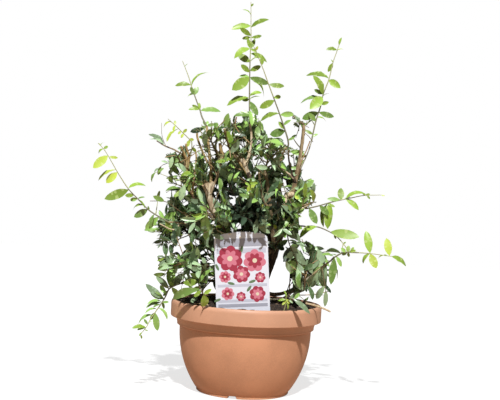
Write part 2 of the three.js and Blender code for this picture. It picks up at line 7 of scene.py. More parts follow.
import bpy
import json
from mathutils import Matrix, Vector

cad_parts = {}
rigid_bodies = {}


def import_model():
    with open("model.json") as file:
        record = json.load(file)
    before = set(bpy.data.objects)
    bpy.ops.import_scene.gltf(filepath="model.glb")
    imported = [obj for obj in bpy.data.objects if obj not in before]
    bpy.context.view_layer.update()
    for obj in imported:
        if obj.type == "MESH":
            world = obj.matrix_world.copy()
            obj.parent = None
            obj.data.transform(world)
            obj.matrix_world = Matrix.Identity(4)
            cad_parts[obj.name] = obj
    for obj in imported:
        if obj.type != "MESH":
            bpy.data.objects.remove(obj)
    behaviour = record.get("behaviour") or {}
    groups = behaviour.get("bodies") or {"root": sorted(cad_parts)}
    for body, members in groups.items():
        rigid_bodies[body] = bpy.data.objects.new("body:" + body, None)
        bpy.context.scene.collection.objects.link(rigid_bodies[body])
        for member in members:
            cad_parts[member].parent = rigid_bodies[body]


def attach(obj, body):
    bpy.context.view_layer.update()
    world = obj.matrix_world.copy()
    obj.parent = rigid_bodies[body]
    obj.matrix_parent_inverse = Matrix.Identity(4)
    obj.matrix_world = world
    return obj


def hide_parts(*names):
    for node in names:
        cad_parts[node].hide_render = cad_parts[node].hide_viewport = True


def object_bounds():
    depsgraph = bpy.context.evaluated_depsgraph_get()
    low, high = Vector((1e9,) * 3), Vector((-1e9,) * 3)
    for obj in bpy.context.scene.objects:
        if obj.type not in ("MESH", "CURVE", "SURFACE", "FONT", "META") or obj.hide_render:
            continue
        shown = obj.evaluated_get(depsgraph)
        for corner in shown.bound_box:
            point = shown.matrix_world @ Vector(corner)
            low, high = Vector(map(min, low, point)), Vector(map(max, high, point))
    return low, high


bl_info = {
    "name": "Potted pomegranate tree",
    "version": (1, 0, 0),
    "blender": (4, 5, 0),
    "location": "View3D > Sidebar > Pomegranate",
    "description": "Dresses the packed tree with bark, twigs, leaves, a clay bowl, compost and a card",
    "category": "Add Mesh",
}

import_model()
CAD_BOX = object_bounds()

import json
import math

import bmesh
import bpy
import numpy as np
from bpy.props import FloatProperty, FloatVectorProperty, IntProperty, PointerProperty
from mathutils import Matrix, Quaternion, Vector, noise

# ------------------------------------------------------------------ sizes shared with the source
MM = 0.001
UP = Vector((0, 0, 1))
STRAIGHT = Vector((0, 0, 0))  # the bow of a line that has none
SEED = 42
GOLDEN_ANGLE = math.pi * (3 - math.sqrt(5))
ON_AXIS = 1e-6  # a smaller radius is none
CROWN_HEART = Vector((0, 0, 0.3))  # leaves turn their faces away from here
SUN = Vector((-0.15, -0.6, 0.8)).normalized()  # and towards the light
FACE_OUTWARD = 0.6
FACE_SUN = 0.8

POT_HEIGHT = 172
RIM = {"radius": 145, "thickness": 7.5, "band": 31}
INSIDE = RIM["radius"] - RIM["thickness"]
NECK = {"top": 135, "foot": 132, "height": 12.5}
BELLY = {"radius": 126.8, "height": 118, "arc": 193, "wall": 3.2}
FOOT = {"outer": 89, "inner": 80, "recess": 5, "corner": 5.5, "notch_width": 17, "notch_height": 4.8}
NOTCH_ANGLES = (-12, 108, 228)  # degrees from the front, towards +X
FLOOR_THICKNESS = 6
WALL_GAP = 0.3  # between the compost and the pot
SOIL = {"edge": 166, "shoulder": 170, "shoulder_radius": 100, "mound": 174, "mound_radius": 34}
CARD = {"width": 98, "thickness": 1.2, "foot": 150, "top": 311, "arch": 4, "corner": 12,
        "centre": -4, "depth": -112, "lean": 5}

# Trunk and boughs: name, parent, share of the parent's length, tip, bow of the middle, radii at both ends
LIMBS = (
    ("trunk", None, (14, 0, 174.3), (51, 2, 288), (1, 0, 0), (16, 10.5)),
    ("right", "trunk", 0.99, (92, -12, 518), (9, 0, 0), (6.8, 3.4)),
    ("centre", "trunk", 0.95, (-22, -15, 447), (-5, 0, 12), (7.6, 4.6)),
    ("left", "trunk", 0.7, (-87, -22, 397), (-26, -4, -16), (7.4, 5.2)),
    ("inner", "trunk", 0.86, (22, -34, 425), (3, -12, 0), (3.6, 2.4)),
    ("leader", "centre", 0.9, (-12, -2, 515), (7, 2, 0), (3.2, 2.5)),
    ("left_upper", "left", 0.78, (-96, 22, 508), (2, 14, 0), (3.4, 2.4)),
    ("left_outer", "left", 0.6, (-132, -16, 420), (-12, 0, -8), (3.8, 2.6)),
    ("left_far", "left", 0.42, (-156, -24, 318), (0, 0, 6), (3.4, 2.2)),
    ("left_mid", "left", 0.28, (-108, 38, 288), (0, 6, -6), (3.6, 2.4)),
    ("left_low", "trunk", 0.42, (-84, -50, 242), (0, 0, -6), (4.6, 3)),
    ("left_droop", "trunk", 0.14, (-126, -34, 204), (0, 0, 12), (3.8, 2.4)),
    ("front_left", "trunk", 0.62, (-36, -74, 298), (0, 0, -6), (4, 2.8)),
    ("front", "trunk", 0.8, (-6, -56, 322), (0, -8, 0), (3.8, 2.6)),
    ("left_inner", "left", 0.88, (-64, -30, 446), (5, 0, 0), (3.2, 2.4)),
    ("middle", "centre", 0.28, (14, 30, 362), (0, 4, 0), (3.4, 2.4)),
    ("front_right", "trunk", 0.9, (66, -62, 322), (0, 0, -8), (3.8, 2.6)),
    ("right_low", "trunk", 0.1, (108, -42, 206), (0, 0, -14), (4.4, 3)),
    ("right_shoot", "right_low", 0.6, (156, -34, 262), (0, 0, 2), (2.8, 2.1)),
    ("right_arch", "right", 0.1, (112, -12, 322), (0, 0, 6), (3.2, 2.2)),
    ("right_mid", "right", 0.3, (110, 10, 364), (0, 0, -4), (2.8, 2)),
    ("right_fork", "right", 0.52, (63, -34, 474), (-4, -4, 0), (3, 2.3)),
    ("right_spur", "right", 0.58, (109, 4, 488), (3, 0, 0), (2.8, 2.1)),
    ("back_low", "trunk", 0.34, (-66, 76, 240), (0, 0, -4), (4.6, 3)),
    ("back_left", "trunk", 0.8, (-62, 76, 342), (-4, 6, -8), (4.6, 3)),
    ("back_high", "centre", 0.4, (-16, 64, 430), (0, 8, -8), (4, 2.6)),
    ("back", "trunk", 0.92, (34, 86, 342), (0, 8, -8), (4.6, 3)),
    ("back_right", "right", 0.2, (84, 62, 372), (6, 6, -6), (3.6, 2.6)),
    ("right_back_low", "trunk", 0.2, (124, 60, 228), (0, 4, -24), (4.2, 2.8)),
)

# A mass grows from its bough's tip. twig is the length of its side twigs at the foot, reach how far a leaf
# may lie from the stem, and bare_tip the stem's share without side twigs. fresh is how young the growth is
# at foot and tip: 0 is old and dark, 1 pale and new. fill is its share of the usual number of twigs,
# larger the size of its leaves, and younger an age on top of fresh.
DENSE = {"twig": 56, "reach": 74, "bare_tip": 0.1, "fresh": (0.1, 0.35), "fill": 1, "larger": 1,
         "younger": 0}
SHOOT = {"twigs": 5, "twig": 32, "reach": 46, "bare_tip": 0.62, "fresh": (0.45, 0.9)}
ARCH = dict(SHOOT, twigs=6, twig=42, bare_tip=0.3, fresh=(0.4, 0.85))


def growth(kind, name, bough, tip, **changes):
    """A mass, by its name, its bough and its stem's tip: of a long shoot's tip only the depth (y)."""
    return dict(kind, name=f"foliage_{name}", bough=bough, tip=tip, **changes)


MASSES = (
    growth(SHOOT, "leader", "leader", 15, twigs=6),
    growth(SHOOT, "leader_right", "right_fork", -64),
    growth(SHOOT, "shoot_right", "right_spur", 45, twigs=3),
    growth(SHOOT, "shoot_left", "left_upper", 60, twigs=4),
    growth(DENSE, "left_top", "left_outer", (-150, -46, 452), reach=58, fill=1.1, larger=1.15),
    growth(SHOOT, "far_left", "left_far", -50, twigs=4),
    growth(DENSE, "left", "left_mid", (-154, 50, 320)),
    growth(DENSE, "left_high", "left", (-114, -52, 420)),
    growth(DENSE, "left_inner", "left_inner", (-92, -46, 490), reach=54, fill=1.2, larger=1.15,
           younger=0.05),
    growth(DENSE, "left_low", "left_low", (-132, -84, 246), fill=0.7, larger=1.3, younger=-0.12),
    growth(ARCH, "left_droop", "left_droop", -70, fresh=(0.3, 0.6)),
    growth(DENSE, "front_left", "front_left", (-78, -108, 350), fill=1.1, larger=1.1),
    growth(DENSE, "front", "front", (-14, -104, 354), fill=1.2),
    growth(DENSE, "inner", "inner", (32, -52, 480), reach=56, fill=1.5, younger=0.04),
    growth(DENSE, "centre", "centre", (-52, -62, 468), reach=66, fill=1.3, larger=1.15, younger=0.04),
    growth(DENSE, "right_high", "right", (72, 14, 536), reach=44, twig=34, fill=0.5, larger=1.1),
    growth(DENSE, "middle", "middle", (-6, 40, 420), fill=1.2),
    growth(DENSE, "front_right", "front_right", (76, -106, 368), reach=64, fill=1.3, larger=1.15),
    growth(ARCH, "far_right", "right_mid", 40, twigs=3, bare_tip=0.5, twig=28),
    growth(ARCH, "right", "right_arch", -40, twigs=4, bare_tip=0.1),
    growth(DENSE, "right_low", "right_low", (104, -66, 262), reach=58, fill=0.26, larger=1.3,
           younger=0.12),
    growth(SHOOT, "right_shoot", "right_shoot", -62, twigs=3),
    growth(DENSE, "back_low", "back_low", (-94, 102, 262), fill=0.7, larger=1.1),
    growth(DENSE, "back_left", "back_left", (-90, 100, 402)),
    growth(DENSE, "back_high", "back_high", (-14, 84, 514), twig=46, fill=1.3, younger=0.05),
    growth(DENSE, "back", "back", (22, 100, 400)),
    growth(DENSE, "back_right", "back_right", (82, 92, 430), reach=52),
    growth(DENSE, "right_back_low", "right_back_low", (138, 92, 280), reach=52, fill=0.22, larger=1.3,
           younger=0.12),
)

# How the finer growth differs from the source's: lengths in metres.
FINE = {
    "twigs": 13,  # side twigs on a dense stem
    "longer": 0.016,  # added to a twig for the length of the source's larger leaves
    "spur": (0.012, 0.016),  # length of the finest twigs: the least and the spread above it
    "spur_step": 0.0105,
    "on_bough": 5,  # side twigs on the bough before a dense stem, this share of its length apart
    "bough_step": 0.1,
    "overlap": 0.008,  # how far a spray may reach into its neighbour's space
    "shoot_leaf": 0.03,
}
TWIG = {"stem": 0.0022, "side": 0.00115, "spur": 0.0007, "tip": 0.0005}  # radii in metres
FIRST = 0.1  # the share of a line before its first side twig
SHORTENING = 0.45  # how much shorter than at the foot side twigs are at the tip
TWIG_LENGTH = (0.8, 0.4)  # a twig's share of its full length: the least and the spread above it
OPEN_DEGREES = (48, 30)  # the same for the angle by which it leans out
RISE = 0.12  # how far its tip lifts, as a share of its length
SHORTEST = 0.012
SHRINK_STEP = 0.85
GAP = 0.0015  # between foliage and the wood that it doesn't grow from, in metres
SEED_SHARES = (0.2, 0.6, 1)  # the points of a stem that its mass's space lies round
RIM_CLEARANCE = 0.003
LOWEST = 0.02  # no foliage hangs lower beside the pot

CAMERA = {"place": (-3.8, -1933, 382), "pitch": 0.404, "roll": 3.0, "lens": 72.0}
SENSOR = 36
HEADING_STEP = 0.02  # the share of a way over which its heading is taken


def mm(point):
    """A point in millimetres as a vector in metres."""
    return Vector(point) * MM


def lerp(low, high, share):
    return low + (high - low) * share


class Draws:
    """The source's linear congruential numbers, the same for every run."""

    def __init__(self, seed):
        self.state = seed

    def one(self):
        self.state = (self.state * 1664525 + 1013904223) % 4294967296
        return self.state / 4294967296

    def spread(self, least, span):
        return least + span * self.one()

    def pick(self, choices):
        return choices[int(self.one() * len(choices))]


class Line:
    """A limb's or twig's centre line, from start to tip. Its radii at both are in metres."""

    def radius(self, share):
        return lerp(*self.radii, share)

    def run(self, steps, first=0, last=1):
        """Points and radii in even steps from the first share to the last."""
        shares = [lerp(first, last, step / steps) for step in range(steps + 1)]
        return [self.at(share) for share in shares], [self.radius(share) for share in shares]


class Path(Line):
    """A quadratic curve."""

    def __init__(self, start, tip, bow, radii):
        middle = (start + tip) / 2 + bow
        self.start = start
        self.tip = tip
        self.control = middle * 2 - (start + tip) / 2
        self.radii = radii
        self.length = (tip - start).length

    def at(self, share):
        rest = 1 - share
        return self.start * rest * rest + self.control * (2 * rest * share) + self.tip * share * share

    def heading(self, share):
        turn = (self.control - self.start) * (1 - share) + (self.tip - self.control) * share
        return turn.normalized()


class Way(Line):
    """A curve through start and places in the front view, its depth (y) evened out up to the tip."""

    def __init__(self, start, tip_depth, places, radii):
        self.points = [start]
        self.places = [0.0]
        for number, place in enumerate(places):
            depth = lerp(start.y, tip_depth * MM, (number + 1) / len(places))
            self.points.append(in_space(*place, depth))
            self.places.append(self.places[-1] + (self.points[-1] - self.points[-2]).length)
        self.radii = radii
        self.length = self.places[-1]

    def at(self, share):
        place = min(max(share, 0), 1) * self.length
        k = max(i for i in range(len(self.points) - 1) if self.places[i] <= place)
        t = (place - self.places[k]) / (self.places[k + 1] - self.places[k])
        a, b = self.points[k], self.points[k + 1]
        before = self.points[k - 1] if k > 0 else a * 2 - b
        after = self.points[k + 2] if k + 2 < len(self.points) else b * 2 - a
        slope_a, slope_b = (b - before) / 2, (after - a) / 2
        return (a * (2 * t ** 3 - 3 * t ** 2 + 1) + slope_a * (t ** 3 - 2 * t ** 2 + t)
                + b * (3 * t ** 2 - 2 * t ** 3) + slope_b * (t ** 3 - t ** 2))

    def heading(self, share):
        return (self.at(share + HEADING_STEP) - self.at(share - HEADING_STEP)).normalized()


def sideways(heading, spin=0.0):
    """A direction square to heading, turned by spin."""
    reference = Vector((0, -1, 0)) if abs(heading.z) > 0.9 else UP
    return Quaternion(heading, spin) @ heading.cross(reference).normalized()


def leaning(heading, side, angle):
    """The direction that leans from heading towards side by an angle."""
    return heading * math.cos(angle) + side * math.sin(angle)


def limb_paths():
    paths = {}
    for name, parent, share, tip, bow, radii in LIMBS:
        start = paths[parent].at(share) if parent else mm(share)
        paths[name] = Path(start, mm(tip), mm(bow), [radius * MM for radius in radii])
    return paths


def view_axes():
    """The camera's right, up and forward directions."""
    pitch = math.radians(CAMERA["pitch"])
    roll = math.radians(CAMERA["roll"])
    forward = Vector((0, math.cos(pitch), -math.sin(pitch)))
    level_up = Vector((0, math.sin(pitch), math.cos(pitch)))
    right = Vector((math.cos(roll), 0, 0)) + level_up * math.sin(roll)
    up = level_up * math.cos(roll) - Vector((math.sin(roll), 0, 0))
    return right, up, forward


EYE = mm(CAMERA["place"])
RIGHTWARD, UPWARD, FORWARD = view_axes()
VIEW_STEPS = (500, 400)
STEPS_AT_ONE = VIEW_STEPS[0] * CAMERA["lens"] / SENSOR
STEP = -EYE.y / STEPS_AT_ONE  # what one step of the view spans at the pot's axis, in metres


def seen_at(point):
    """Where a point shows in the front view, in steps across and down."""
    way = point - EYE
    scale = STEPS_AT_ONE / way.dot(FORWARD)
    return (VIEW_STEPS[0] / 2 + scale * way.dot(RIGHTWARD), VIEW_STEPS[1] / 2 - scale * way.dot(UPWARD))


def in_space(across, down, depth):
    """The point at a depth (y) that shows at a place in the front view."""
    way = (FORWARD + RIGHTWARD * ((across - VIEW_STEPS[0] / 2) / STEPS_AT_ONE)
           - UPWARD * ((down - VIEW_STEPS[1] / 2) / STEPS_AT_ONE))
    return EYE + way * ((depth - EYE.y) / way.y)


# ------------------------------------------------------------------ node trees
class Graph:
    """Adds nodes to a tree: a type, then its settings, then the values or links of its sockets."""

    def __init__(self, tree):
        self.tree = tree

    def add(self, kind, settings=None, inputs=None):
        node = self.tree.nodes.new(kind)
        for name, value in (settings or {}).items():
            setattr(node, name, value)
        for key, value in (inputs or {}).items():
            socket = node.inputs[key]
            if isinstance(value, Value):
                value = value.socket
            if isinstance(value, bpy.types.NodeSocket):
                self.tree.links.new(value, socket)
            else:
                socket.default_value = value
        return node


class Value:
    """A number socket that adds Math nodes when it stands in an expression."""

    def __init__(self, graph, socket):
        self.graph = graph
        self.socket = socket

    def math(self, operation, first, second):
        node = self.graph.add("ShaderNodeMath", {"operation": operation}, {0: first, 1: second})
        return Value(self.graph, node.outputs[0])

    def __add__(self, other):
        return self.math("ADD", self, other)

    def __sub__(self, other):
        return self.math("SUBTRACT", self, other)

    def __mul__(self, other):
        return self.math("MULTIPLY", self, other)

    __radd__ = __add__
    __rmul__ = __mul__


class Finish(Graph):
    """A material with a Principled shader, and the pattern nodes that this object's finishes share."""

    def __init__(self, name, colour, roughness, **constants):
        self.material = bpy.data.materials.new(name)
        self.material.use_nodes = True
        super().__init__(self.material.node_tree)
        self.shader = self.tree.nodes["Principled BSDF"]
        self.shader.inputs["Base Color"].default_value = (*colour, 1)
        self.shader.inputs["Roughness"].default_value = roughness
        for socket, value in constants.items():
            self.shader.inputs[socket.replace("_", " ")].default_value = value
        self.material.diffuse_color = (*colour, 1)

    def place(self, stretch=(1, 1, 1)):
        """Object coordinates, stretched."""
        coordinates = self.add("ShaderNodeTexCoord")
        return self.add("ShaderNodeMapping", None,
                        {"Vector": coordinates.outputs["Object"], "Scale": stretch}).outputs[0]

    def speckle(self, scale, detail=4.0, stretch=(1, 1, 1), rough=0.55):
        node = self.add("ShaderNodeTexNoise", None, {
            "Vector": self.place(stretch), "Scale": scale, "Detail": detail, "Roughness": rough})
        return Value(self, node.outputs["Fac"])

    def between(self, mask, low, high):
        """mask between low and high, stretched to 0 to 1."""
        node = self.add("ShaderNodeMapRange", {"interpolation_type": "SMOOTHSTEP"},
                        {"Value": mask, "From Min": low, "From Max": high})
        return Value(self, node.outputs["Result"])

    def mix(self, mask, first, second):
        node = self.add("ShaderNodeMix", {"data_type": "RGBA"}, {0: mask, 6: first, 7: second})
        return node.outputs[2]

    def colour(self, socket):
        self.tree.links.new(socket, self.shader.inputs["Base Color"])

    def roughness(self, value):
        self.tree.links.new(value.socket, self.shader.inputs["Roughness"])

    def bump(self, height, distance, strength=1.0):
        node = self.add("ShaderNodeBump", None,
                        {"Height": height, "Distance": distance, "Strength": strength})
        self.tree.links.new(node.outputs["Normal"], self.shader.inputs["Normal"])


class Arrangement(Graph):
    """A Geometry Nodes tree with named inputs, run once on an object and turned into a plain mesh."""

    def __init__(self, name, inputs, finishes):
        tree = bpy.data.node_groups.new(name, "GeometryNodeTree")
        super().__init__(tree)
        tree.interface.new_socket("Geometry", in_out="INPUT", socket_type="NodeSocketGeometry")
        tree.interface.new_socket("Geometry", in_out="OUTPUT", socket_type="NodeSocketGeometry")
        self.labels = [f"Finish {number + 1}" for number in range(finishes)]
        self.identifiers = {}
        for label, kind in {**inputs, **dict.fromkeys(self.labels, "NodeSocketMaterial")}.items():
            socket = tree.interface.new_socket(label, in_out="INPUT", socket_type=kind)
            self.identifiers[label] = socket.identifier
        self.source = self.add("NodeGroupInput").outputs

    def step(self, kind, inputs=None, **settings):
        """Adds a node of geometry and gives its first output."""
        return self.add(f"GeometryNode{kind}", settings, inputs).outputs[0]

    def named(self, name, kind):
        return self.step("InputNamedAttribute", {"Name": name}, data_type=kind)

    def end(self, geometry, number=None):
        """Makes copies real and sets the materials: one, or each where the faces have its number."""
        geometry = self.step("RealizeInstances", {"Geometry": geometry})
        for own, label in enumerate(self.labels):
            inputs = {"Geometry": geometry, "Material": self.source[label]}
            if number is not None:
                chosen = self.add("FunctionNodeCompare", {"data_type": "INT", "operation": "EQUAL"},
                                  {2: number, 3: own})
                inputs["Selection"] = chosen.outputs["Result"]
            geometry = self.step("SetMaterial", inputs)
        self.add("NodeGroupOutput", None, {"Geometry": geometry})

    def run(self, source, values, finishes, piece_name):
        modifier = source.modifiers.new(self.tree.name, "NODES")
        modifier.node_group = self.tree
        for label, value in {**values, **dict(zip(self.labels, finishes))}.items():
            modifier[self.identifiers[label]] = value
        depsgraph = bpy.context.evaluated_depsgraph_get()
        mesh = bpy.data.meshes.new_from_object(source.evaluated_get(depsgraph), depsgraph=depsgraph)
        bpy.data.objects.remove(source)
        return linked(piece_name, mesh)


# ------------------------------------------------------------------ meshes
def linked(name, mesh):
    mesh.name = name
    piece = bpy.data.objects.new(name, mesh)
    bpy.context.scene.collection.objects.link(piece)
    return piece


def mesh_piece(name, points, faces, material=None, smooth=True):
    mesh = bpy.data.meshes.new(name)
    mesh.from_pydata([tuple(point) for point in points], [], faces)
    mesh.validate()
    if smooth:
        mesh.shade_smooth()
    if material:
        mesh.materials.append(material)
    mesh.update()
    return linked(name, mesh)


def finish_piece(piece, slot, *nodes):
    """The piece rides on the plant's one body and stands for its nodes. Its slot is not used."""
    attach(piece, "root")
    if nodes:
        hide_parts(*nodes)


def rounded(corners, steps=5):
    """An outline of (x, y, fillet) corners with each corner rounded by a short curve."""
    outline = []
    for i, (x, y, fillet) in enumerate(corners):
        here = Vector((x, y))
        if not fillet or i in (0, len(corners) - 1):
            outline.append(here)
            continue
        before = Vector(corners[i - 1][:2]) - here
        after = Vector(corners[i + 1][:2]) - here
        start = here + before.normalized() * min(fillet, before.length * 0.48)
        end = here + after.normalized() * min(fillet, after.length * 0.48)
        for step in range(steps + 1):
            share = step / steps
            outline.append(start * (1 - share) ** 2 + here * (2 * share * (1 - share)) + end * share ** 2)
    return outline


def turned_mesh(outline, segments, shape=None):
    """An outline of radii and heights turned round Z. Its ends lie on the axis.

    A height may be a function of x and y. shape may move a point.
    """
    points = []
    faces = []
    rings = []
    for radius, height in outline:
        count = 1 if radius < ON_AXIS else segments
        rings.append(range(len(points), len(points) + count))
        for step in range(count):
            angle = math.tau * step / segments
            x, y = radius * math.sin(angle), -radius * math.cos(angle)
            point = Vector((x, y, height(x, y) if callable(height) else height))
            points.append(shape(point, angle) if shape else point)
    for low, high in zip(rings, rings[1:]):
        for step in range(segments):
            after = (step + 1) % segments
            if len(low) == 1:
                faces.append((low[0], high[after], high[step]))
            elif len(high) == 1:
                faces.append((low[step], low[after], high[0]))
            else:
                faces.append((low[step], low[after], high[after], high[step]))
    return points, faces


def lofted(rings):
    """The points and faces of a closed solid through rings of equally many points, from end to end."""
    count = len(rings[0])
    last = (len(rings) - 1) * count
    faces = [tuple(reversed(range(count)))]
    for low in range(0, last, count):
        for i in range(low, low + count):
            after = low + (i - low + 1) % count
            faces.append((i, after, after + count, i + count))
    faces.append(tuple(range(last, last + count)))
    return [point for ring in rings for point in ring], faces


# ------------------------------------------------------------------ what the front shows beyond the rule
# Places are (across, down) in steps of the front view, which is 500 steps wide and 400 high.
# Centre lines of the long shoots, from their bough's tip on.
WAYS = {
    "foliage_leader": ((249.5, 95), (250, 62), (251, 40), (251, 27), (251, 15), (251, 2)),
    "foliage_leader_right": ((288, 140), (281, 118), (274.5, 100), (268.5, 84), (262, 66), (254, 47)),
    "foliage_shoot_right": ((314, 129), (316.5, 119), (321, 105), (323, 95), (329, 79), (333, 62.5),
                            (337, 51), (341.6, 37.6)),
    "foliage_shoot_left": ((202, 117), (200, 110), (197, 102), (194.5, 95), (191.5, 86), (189, 78),
                           (186.5, 71), (182.5, 61)),
    "foliage_far_left": ((150, 211), (140, 201), (133, 194), (127, 187), (118, 173), (110.6, 160),
                         (104.5, 150), (98, 143)),
    "foliage_far_right": ((305, 208.6), (318, 206), (332, 202), (341, 200), (351, 198), (364, 195.5),
                          (382, 195)),
    "foliage_right": ((318, 227), (329, 231.5), (336.6, 236.5), (343.5, 244), (349, 252)),
    "foliage_right_shoot": ((334, 257.5), (343.5, 252.6), (353, 252.5), (370, 253.5), (392, 256.5)),
    "foliage_left_droop": ((170, 288), (165, 297.5), (159, 307), (151, 318), (147, 326), (140, 335)),
}
# Twigs that stand out: what each grows from and at which share, the depth of its tip in mm,
# its radii in mm, its colour, and its places.
OWN_TWIGS = {
    "rim_left": ("left_low", 1, -146, (1.5, 0.8), "brown", ((200, 276), (199, 285), (204, 295))),
    "hang_right": ("right_shoot", 0.8, -52, (1.2, 0.6), "brown", ((322, 268), (324, 280), (326, 292))),
    "right_fall": ("front_right", 1, -70, (1.3, 0.7), "brown",
                   ((289, 243), (293, 253), (297, 263), (300, 272))),
    "hang_middle": ("right_shoot", 0.4, -60, (1.2, 0.6), "brown", ((306, 281), (309, 287))),
    "top_left": ("left_outer", 0.9, -34, (1.3, 0.6), "lime",
                 ((192, 147), (190, 140), (183, 133), (176, 126), (168, 119))),
    "old_twig": ("left_outer", 1, -40, (2, 1), "tan", ((184, 157), (176, 151), (165, 146), (157, 141))),
    "thin_left": ("old_twig", 0.76, -36, (0.7, 0.4), "grey", ((162, 136), (161.5, 123))),
    "left_wisp": ("left_outer", 1, -30, (1, 0.5), "lime",
                  ((186, 181), (175, 179), (166, 176), (156, 172))),
    "left_upper_wisp": ("left_outer", 1, -20, (0.9, 0.5), "brown",
                        ((178, 164), (168, 163), (160, 167), (159, 173))),
    "sucker": (None, (68, -110, 168), -120, (1.1, 0.7), "lime", ((286, 303), (286, 297))),
    "sucker_side": ("sucker", 0.5, -134, (0.9, 0.5), "lime", ((290, 299), (294, 299))),
    "club_left": ("left", 0.9, -34, (4.6, 3.4), "cream", ((206, 189), (203, 185))),
    "club_right": ("left", 0.9, -24, (4.2, 3.2), "cream", ((210, 188), (213, 182))),
    "fork_left": ("centre", 0.9, -22, (4, 3.2), "cream", ((240, 159), (236, 156.5))),
    "stub_a": ("left_upper", 0.45, 6, (2.3, 2), "orange", ((198, 140), (197.5, 129))),
    "stub_b": ("left_outer", 0.6, -16, (2, 1.6), "orange", ((196, 163), (196, 153))),
    "stub_c": ("centre", 0.75, -34, (3, 2.7), "orange", ((231, 150), (228, 142), (224.5, 129))),
    "stub_d": ("left_inner", 0.9, -34, (3.4, 3.1), "orange", ((222.5, 157), (221, 150), (220, 143.5))),
    "stub_e": ("left_outer", 0.85, -34, (2.6, 2.3), "orange", ((187, 162), (184, 153), (181, 146.5))),
    "stub_f": ("left_outer", 0.9, -24, (2.6, 2.2), "orange", ((189, 158), (187, 150), (186, 144))),
    "stub_g": ("leader", 0.5, -16, (1.6, 1.4), "tan", ((236, 128), (236.5, 117))),
    "dark_rod": ("left_inner", 0.8, -38, (1.5, 1), "brown", ((218, 157), (214, 149), (211, 141))),
    "inner_rod": ("inner", 0.5, -52, (2.6, 2.1), "tan", ((264, 201), (261, 192), (260, 184), (259, 173))),
    "pale_rod": ("right_fork", 0.12, -52, (2, 1.9), "cream", ((279, 165), (282, 156), (285.5, 148))),
    "knee": ("right", 0.42, -24, (4.2, 3), "cream", ((287, 196), (285, 203))),
    "rod_right": ("right", 0.6, -6, (1.5, 1.2), "tan", ((303, 158), (307, 149), (310, 141))),
    "thorn": ("right", 0.58, -14, (0.9, 0.5), "brown", ((303, 169.5),)),
    "spine": ("right", 0.88, -12, (1, 0.6), "brown", ((306, 133), (310, 138), (313, 142))),
    "left_rod": ("left_far", 0.8, -46, (1.6, 1.2), "cream", ((173, 230), (166, 227), (160, 224))),
    "left_arm": ("left_far", 0.5, -40, (1.1, 0.7), "brown", ((174, 207), (165, 201.5), (150, 201))),
    "mid_rod": ("left", 0.5, -60, (1.5, 1.1), "tan", ((193, 219), (190, 216), (184, 212))),
    "front_rod": ("front", 0.8, -80, (1, 0.8), "cream", ((233, 207), (240, 204), (250, 202))),
    "over_card": ("front_left", 0.9, -118, (1.4, 0.9), "cream", ((217, 230), (224, 233.5), (231, 234))),
    "on_card": ("front", 0.9, -118, (1.2, 0.9), "cream", ((241, 231), (240, 238))),
    "low_rod": ("left_low", 0.9, -60, (0.9, 0.6), "tan", ((187, 268), (190, 273), (197, 281))),
}
